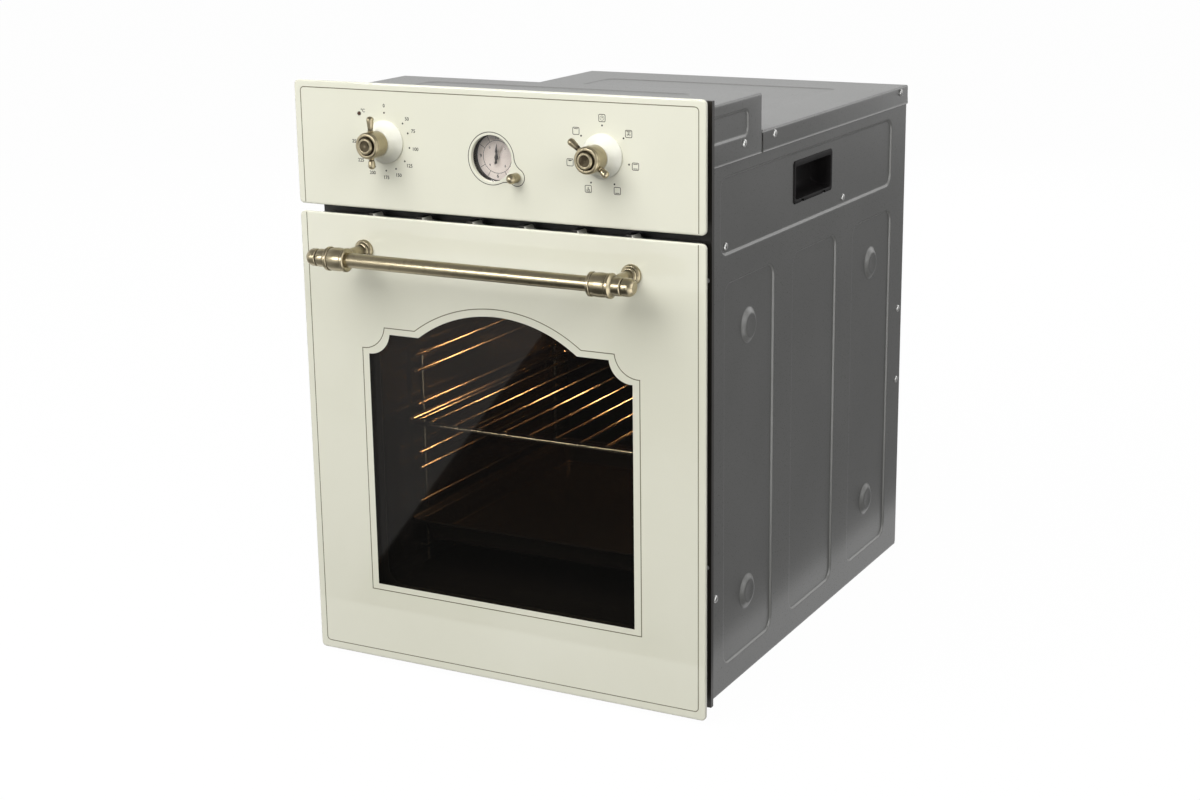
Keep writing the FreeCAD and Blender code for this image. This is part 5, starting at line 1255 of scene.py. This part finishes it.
# %% Rods
rods = Plan("bent_rods", Radius="Float", Bend="Float", Sides="Int", Finish="Material")
line = rods.node("GeometryNodeMeshToCurve", None, {"Mesh": rods.given["Geometry"]})
corners = {"Curve": line, "Count": 6, "Radius": rods.given["Bend"], "Limit Radius": True}
line = rods.node("GeometryNodeFilletCurve", {"mode": "POLY"}, corners)
sizes = {"Resolution": rods.given["Sides"], "Radius": rods.given["Radius"]}
section = rods.node("GeometryNodeCurvePrimitiveCircle", {"mode": "RADIUS"}, sizes)
sweep = {"Curve": line, "Profile Curve": section, "Fill Caps": True}
rods.end(rods.node("GeometryNodeCurveToMesh", None, sweep))


def lines(paths):
    """Points and edges of several paths; a path that ends where it starts is closed."""
    points, edges = [], []
    for path in paths:
        start, ring = len(points), path[0] == path[-1]
        kept = path[:-1] if ring else path
        points += kept
        edges += [(start + i, start + i + 1) for i in range(len(kept) - 1)]
        if ring:
            edges.append((start + len(kept) - 1, start))
    return points, edges


def bent(name, paths, radius, bend, sides, finish="chrome_wire"):
    """Rods along paths, with their radius and bend in metres."""
    sizes = {"Radius": radius, "Bend": bend, "Sides": sides, "Finish": finishes[finish]}
    return rods.grown(name, *lines(paths), **sizes)


def joined(name, *meshes):
    """Several plain meshes of one finish as one."""
    bm = bmesh.new()
    for mesh in meshes:
        bm.from_mesh(mesh)
    for face in bm.faces:
        face.material_index = 0
    whole = bpy.data.meshes.new(name)
    bm.to_mesh(whole)
    bm.free()
    whole.materials.append(meshes[0].materials[0])
    whole.set_sharp_from_angle(angle=radians(40))
    return whole


print("rods are a plan of", len(rods.tree.nodes), "nodes")

# %% [markdown]
# On each side of the cavity hangs a ladder: pairs of runners for the shelf and the tray, two posts that
# carry them, and studs into the wall. They are straight rods, so each is a line with two ends.

# %% Rack ladders
RUNNER_X, UPRIGHT_X, WALL_X = 149, 152.5, 161
LEVELS, LEVEL_PITCH, LOWEST, PAIR = 5, 53, 80, 17
runners, posts, studs = [], [], []
for side in (-1, 1):
    for level in range(LEVELS):
        low = LOWEST + LEVEL_PITCH * level
        for z in (low, low + PAIR):
            runners.append([(side * RUNNER_X, -223, z), (side * RUNNER_X, 95, z)])
    for y in (-206, 78):
        posts.append([(side * UPRIGHT_X, y, 78), (side * UPRIGHT_X, y, 311)])
        studs += [[(side * UPRIGHT_X, y, z), (side * WALL_X, y, z)] for z in (95, 294)]
ladders = joined(
    "rack_rods",
    bent("runners", runners, 0.002, 0.002, 16),
    bent("rack_posts", posts, 0.002, 0.002, 16),
    bent("rack_studs", studs, 0.003, 0.002, 16),
)
piece("rack_rods", ladders, "casing", "chrome_wire", "rack_ladders")

# %% [markdown]
# The shelf is a bent rim with nine thinner bars welded across it. Where a bar meets the rim the weld
# leaves a small drop of metal, and a second plan sets one on each joint.

# %% Wire shelf
RIM_X, RIM_FRONT, RIM_BACK, RIM_Z = 147.5, -247, 93, 243.56
BAR_STEP, BARS, BARS_Z, OVERLAP = 29.2, range(-4, 5), 246.86, 2.5
rim = [(-RIM_X, RIM_FRONT), (RIM_X, RIM_FRONT), (RIM_X, RIM_BACK), (-RIM_X, RIM_BACK), (-RIM_X, RIM_FRONT)]
rim = [(x, y, RIM_Z) for x, y in rim]
bar_ends = RIM_FRONT - OVERLAP, RIM_BACK + OVERLAP
bars = [[(BAR_STEP * n, y, BARS_Z) for y in bar_ends] for n in BARS]

beads = Plan("weld_beads", Radius="Float", Finish="Material")
sizes = {"Segments": 16, "Rings": 10, "Radius": beads.given["Radius"]}
beads.end_on_points(beads.node("GeometryNodeMeshUVSphere", None, sizes))
welds = [(BAR_STEP * n, y, 246.6) for n in BARS for y in (RIM_FRONT - 0.5, RIM_BACK + 0.5)]
shelf = joined(
    "shelf_rods",
    bent("shelf_rim", [rim], 0.0025, 0.012, 20),
    bent("shelf_bars", bars, 0.0016, 0.001, 16),
    beads.grown("shelf_welds", welds, Radius=0.0019, Finish=finishes["chrome_wire"]),
)
piece("shelf_rods", shelf, "shelf", "chrome_wire", "wire_shelf")

# %% [markdown]
# A sheet-metal screw has a low domed head with a cross in it. One head is drawn once, and a plan sets
# it at each hole, turned to look out of the sheet.

# %% Screws
DOME = ((4.0, 0.0), (4.0, 0.35), (3.9, 0.8), (3.6, 1.3), (3.1, 1.7), (2.7, 1.86))
SLOT, SLOT_REACH, SLOT_TOP, SLOT_FLOOR = 0.45, 2.2, 1.9, 0.7
cross = []
for k in range(4):
    c, s = cos(k * pi / 2), sin(k * pi / 2)
    for x, y in ((SLOT, SLOT_REACH), (-SLOT, SLOT_REACH), (-SLOT, SLOT)):
        cross.append((x * c - y * s, x * s + y * c))
form = Form()
rings = [form.ring([(u, v, h) for u, v in circle((0, 0), r, 28)]) for r, h in DOME]
form.loft(rings)
slot_top = form.ring([(u, v, SLOT_TOP) for u, v in cross])
slot_floor = form.ring([(u * 0.8, v * 0.8, SLOT_FLOOR) for u, v in cross])
form.cap([rings[-1], slot_top])
form.bridge(slot_top, slot_floor)
form.cap([slot_floor])
form.cap([rings[0]])
head = linked("screw_head", form.made("screw_head", ["steel"], 35))

screws = Plan("set_screws", Head="Object", Looking="Vector", Finish="Material")
shape = screws.node("GeometryNodeObjectInfo", None, {"Object": screws.given["Head"]}, "Geometry")
facing = {"Vector": screws.given["Looking"]}
facing = screws.node("FunctionNodeAlignRotationToVector", {"axis": "Z"}, facing)
screws.end_on_points(shape, Rotation=facing)
holes = [(204, -184, 544), (204, -111, 544), (204, 250, 544), (201, -220, 450.6), (201, 83, 450.6)]
holes += [(203, -245, 105), (203, 260.5, 208), (203, 260.5, 293)]
sets = (
    (holes, (1, 0, 0)),
    ([(-x, y, z) for x, y, z in holes], (-1, 0, 0)),
    ([(x, 276, 542) for x in (-150, 0, 150)], (0, 1, 0)),
)
made = [
    screws.grown("screws", points, sharp=35, Head=head, Looking=look, Finish=finishes["steel"])
    for points, look in sets
]
bpy.data.objects.remove(head)
piece("screw_heads", joined("screw_heads", *made), "casing", "steel", "casing_screws")

# %% [markdown]
# Two heaters hang under the roof of the cavity: a wide loop, and a grill loop that turns back on itself.
# They are rods too, with wider bends, so the same plan draws them from their corners.

# %% Heaters
HEATER_Z = 392
wide = [(-130, 166), (-130, -219), (130, -219), (130, 166)]
grill = [(-85, 166), (-85, -185), (-28, -185), (-28, 65), (28, 65), (28, -185), (85, -185), (85, 166)]
loops = [[(x, y, HEATER_Z) for x, y in path] for path in (wide, grill)]
mesh = bent("heater_rods", loops, 0.0035, 0.02, 20, "heater_sheath")
piece("heater_rods", mesh, "casing", "heater_sheath", "upper_heaters")

# %% [markdown]
# The baking tray is drawn from one sheet: a floor, sloping walls, a flange that lies on the runners and a
# small upright lip. Rings of rounded rectangles follow that section, and Solidify gives the wall.

# %% Tray
TRAY_X, TRAY_FRONT, TRAY_BACK, TRAY_WALL = 150.2, -247, 93, 0.9
section = (
    (0.0, 139.2), (0.0, 137.4), (0.3, 136.7), (1.0, 136.3), (2.0, 136.2), (8.0, 136.2), (9.2, 136.0),
    (10.1, 135.2), (10.6, 133.8), (14.2, 116.6), (14.9, 114.6), (16.4, 113.5), (18.4, 113.2), (22.0, 113.2),
)
form = Form()
rings = []
for inset, z in section:
    corner = 12 if inset < 1 else max(13 - 0.3 * inset, 6)
    low, high = (-TRAY_X + inset, TRAY_FRONT + inset), (TRAY_X - inset, TRAY_BACK - inset)
    rings.append(form.ring([(u, v, z) for u, v in rounded_loop(low, high, corner, 10)]))
form.loft(rings)
form.cap(rings[-1:])
sheet = form.made("tray_sheet", ["cavity_enamel"], 60, (0, 0, 1))
piece("tray_sheet", thickened("tray_sheet", sheet, TRAY_WALL), "tray", "cavity_enamel", "baking_tray")

# %% [markdown]
# The room and the floor look white to the camera, to mirrors and through glass, but light the oven only
# gently, so that colours come out about as they are written. The floor is an ordinary pale surface
# under that glow, so the shadow stays.


# %% Room and floor
def looked_at(f):
    """1 on the way from the camera, from a mirror or through glass, and 0 for light on a surface."""
    kinds = ("Is Camera Ray", "Is Glossy Ray", "Is Transmission Ray")
    straight, mirrored, through = (f.node("ShaderNodeLightPath", out=kind) for kind in kinds)
    return straight.reckon("MAXIMUM", straight, mirrored.reckon("MAXIMUM", mirrored, through))


def stage_plane(name, corners, finish):
    mesh = bpy.data.meshes.new(name)
    mesh.from_pydata(corners, [], [tuple(range(len(corners)))])
    mesh.materials.append(finish)
    plane = linked(name, mesh)
    plane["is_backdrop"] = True
    return plane


def lying(x0, x1, y0, y1, z):
    return [(x0, y0, z), (x1, y0, z), (x1, y1, z), (x0, y1, z)]


WHITE, DULL = (1, 1, 1, 1), (0.18, 0.18, 0.18, 1)
ROOM_LIGHT, FLOOR_GLOW, GLOW_SHARE = 0.28, 1.08, 0.91
f = Finish(bpy.data.worlds.new("white_room"))
strength = ROOM_LIGHT + (1 - ROOM_LIGHT) * looked_at(f)
room = f.node("ShaderNodeBackground", None, {"Color": WHITE, "Strength": strength})
scene.world = f.output(room, "ShaderNodeOutputWorld")

f = new_finish("studio_floor")
share = looked_at(f) * GLOW_SHARE
matt = f.node("ShaderNodeBsdfDiffuse", None, {"Color": DULL})
glow = f.node("ShaderNodeEmission", None, {"Color": WHITE, "Strength": FLOOR_GLOW})
floor_finish = f.output(f.node("ShaderNodeMixShader", None, {0: share, 1: matt, 2: glow}))
stage_plane("floor", lying(-30, 30, -30, 30, 0), floor_finish)
print("room light", ROOM_LIGHT)

# %% [markdown]
# Product light: a big soft lamp in front, on the left and above, a weaker one behind, and a small one on
# the right that evens out the rosettes. Metal and glass don't mirror them, because a square lamp in a
# reflection looks like a fault. A small warm light stands for the oven lamp.


# %% Lamps
def lamp(name, place, aim, watts, size):
    data = bpy.data.lights.new(name, "AREA")
    data.energy, data.size = watts, size
    obj = linked(name, data)
    obj.location = place
    obj.rotation_euler = (Vector(aim) - Vector(place)).to_track_quat("-Z", "Y").to_euler()
    obj.visible_glossy = False


lamp("key", (-0.5, -2.1, 2.5), (0, -0.3, 0.35), 101, 2.6)
lamp("fill", (-0.8, 2.6, 1.7), (0, 0, 0.3), 34, 2.0)
lamp("soft", (1.9, -1.4, 1.5), (0, -0.3, 0.7), 17, 1.2)
warm = bpy.data.lights.new("oven_light", "POINT")
warm.energy, warm.color, warm.shadow_soft_size = 0.9, (1.0, 0.55, 0.25), 0.02
linked("oven_light", warm).location = (0.0, 0.085, 0.36)
print("studio ready,", len(bpy.data.lights), "lamps")

# %% [markdown]
# Photographers hang flags and cards round glass and metal to give them depth. Two cloths lie where the
# window mirrors the floor, one dark and one grey, and their common edge draws the diagonal across it.
# Dim cards stand round the brass, with a bright one low at the left for the line along the bar. On the
# right, bright cards catch the pressed edges of the casing. Only mirrors see them: they light nothing.

# %% Flags
CLOTH_Z, ROOF_Z = 0.02, 4.0
EDGE_NEAR, EDGE_FAR = (-0.25, -0.4, CLOTH_Z), (-0.823, -2.0, CLOTH_Z)


def flag(name, level, corners):
    f = new_finish(name)
    cloth = f.mix(f.noise(3, 3.0), (level * 0.9,) * 3 + (1,), (level * 1.1,) * 3 + (1,))
    shine = f.node("ShaderNodeEmission", None, {"Color": cloth, "Strength": 1.0})
    plane = stage_plane(name, corners, f.output(shine))
    plane.visible_camera = plane.visible_diffuse = False
    plane.visible_shadow = plane.visible_transmission = False


def standing(x0, x1, y, z0, z1):
    return [(x0, y, z0), (x1, y, z0), (x1, y, z1), (x0, y, z1)]


flag("dark_cloth", 0.07, [EDGE_NEAR, (0.25, -0.4, CLOTH_Z), (0.25, -2.0, CLOTH_Z), EDGE_FAR])
flag("grey_cloth", 0.38, [EDGE_NEAR, EDGE_FAR, (-3, -2.0, CLOTH_Z), (-3, -0.4, CLOTH_Z)])
flag("dim_card", 0.3, standing(-4, 4, -3.4, 0.9, ROOF_Z))
flag("dim_roof", 0.3, lying(-4, 4, -3.4, 1.5, ROOF_Z))
flag("bar_card", 14.0, standing(-1.9, -0.3, -2.8, 0.95, 1.5))
flag("edge_card", 2.4, lying(0.6, 2.4, -1.6, -0.05, CLOTH_Z))
flag("right_card", 2.4, [(2.8, -1.4, 0.4), (2.8, 1.2, 0.4), (2.8, 1.2, 2.4), (2.8, -1.4, 2.4)])
flag("side_cloth", 0.36, lying(0.24, 4, -0.05, 4, CLOTH_Z))
flag("foot_cloth", 0.36, lying(0.24, 0.6, -0.35, -0.05, CLOTH_Z))
flag("back_card", 2.0, standing(0.6, 2.2, 2.2, 0.7, 2.2))
flag("top_card", 0.85, standing(-2.6, 0.2, 2.1, 0.6, 1.6))
print("eleven flags and cards")

# %% [markdown]
# Last, the box of the dressed oven is measured and kept together with the box of its solids.

# %% Sizes
low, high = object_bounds()
boxes = {"cad": [list(cad_low), list(cad_high)], "visual": [list(low), list(high)]}
print("visual box", [round(v * 1000, 1) for v in high - low], "mm")
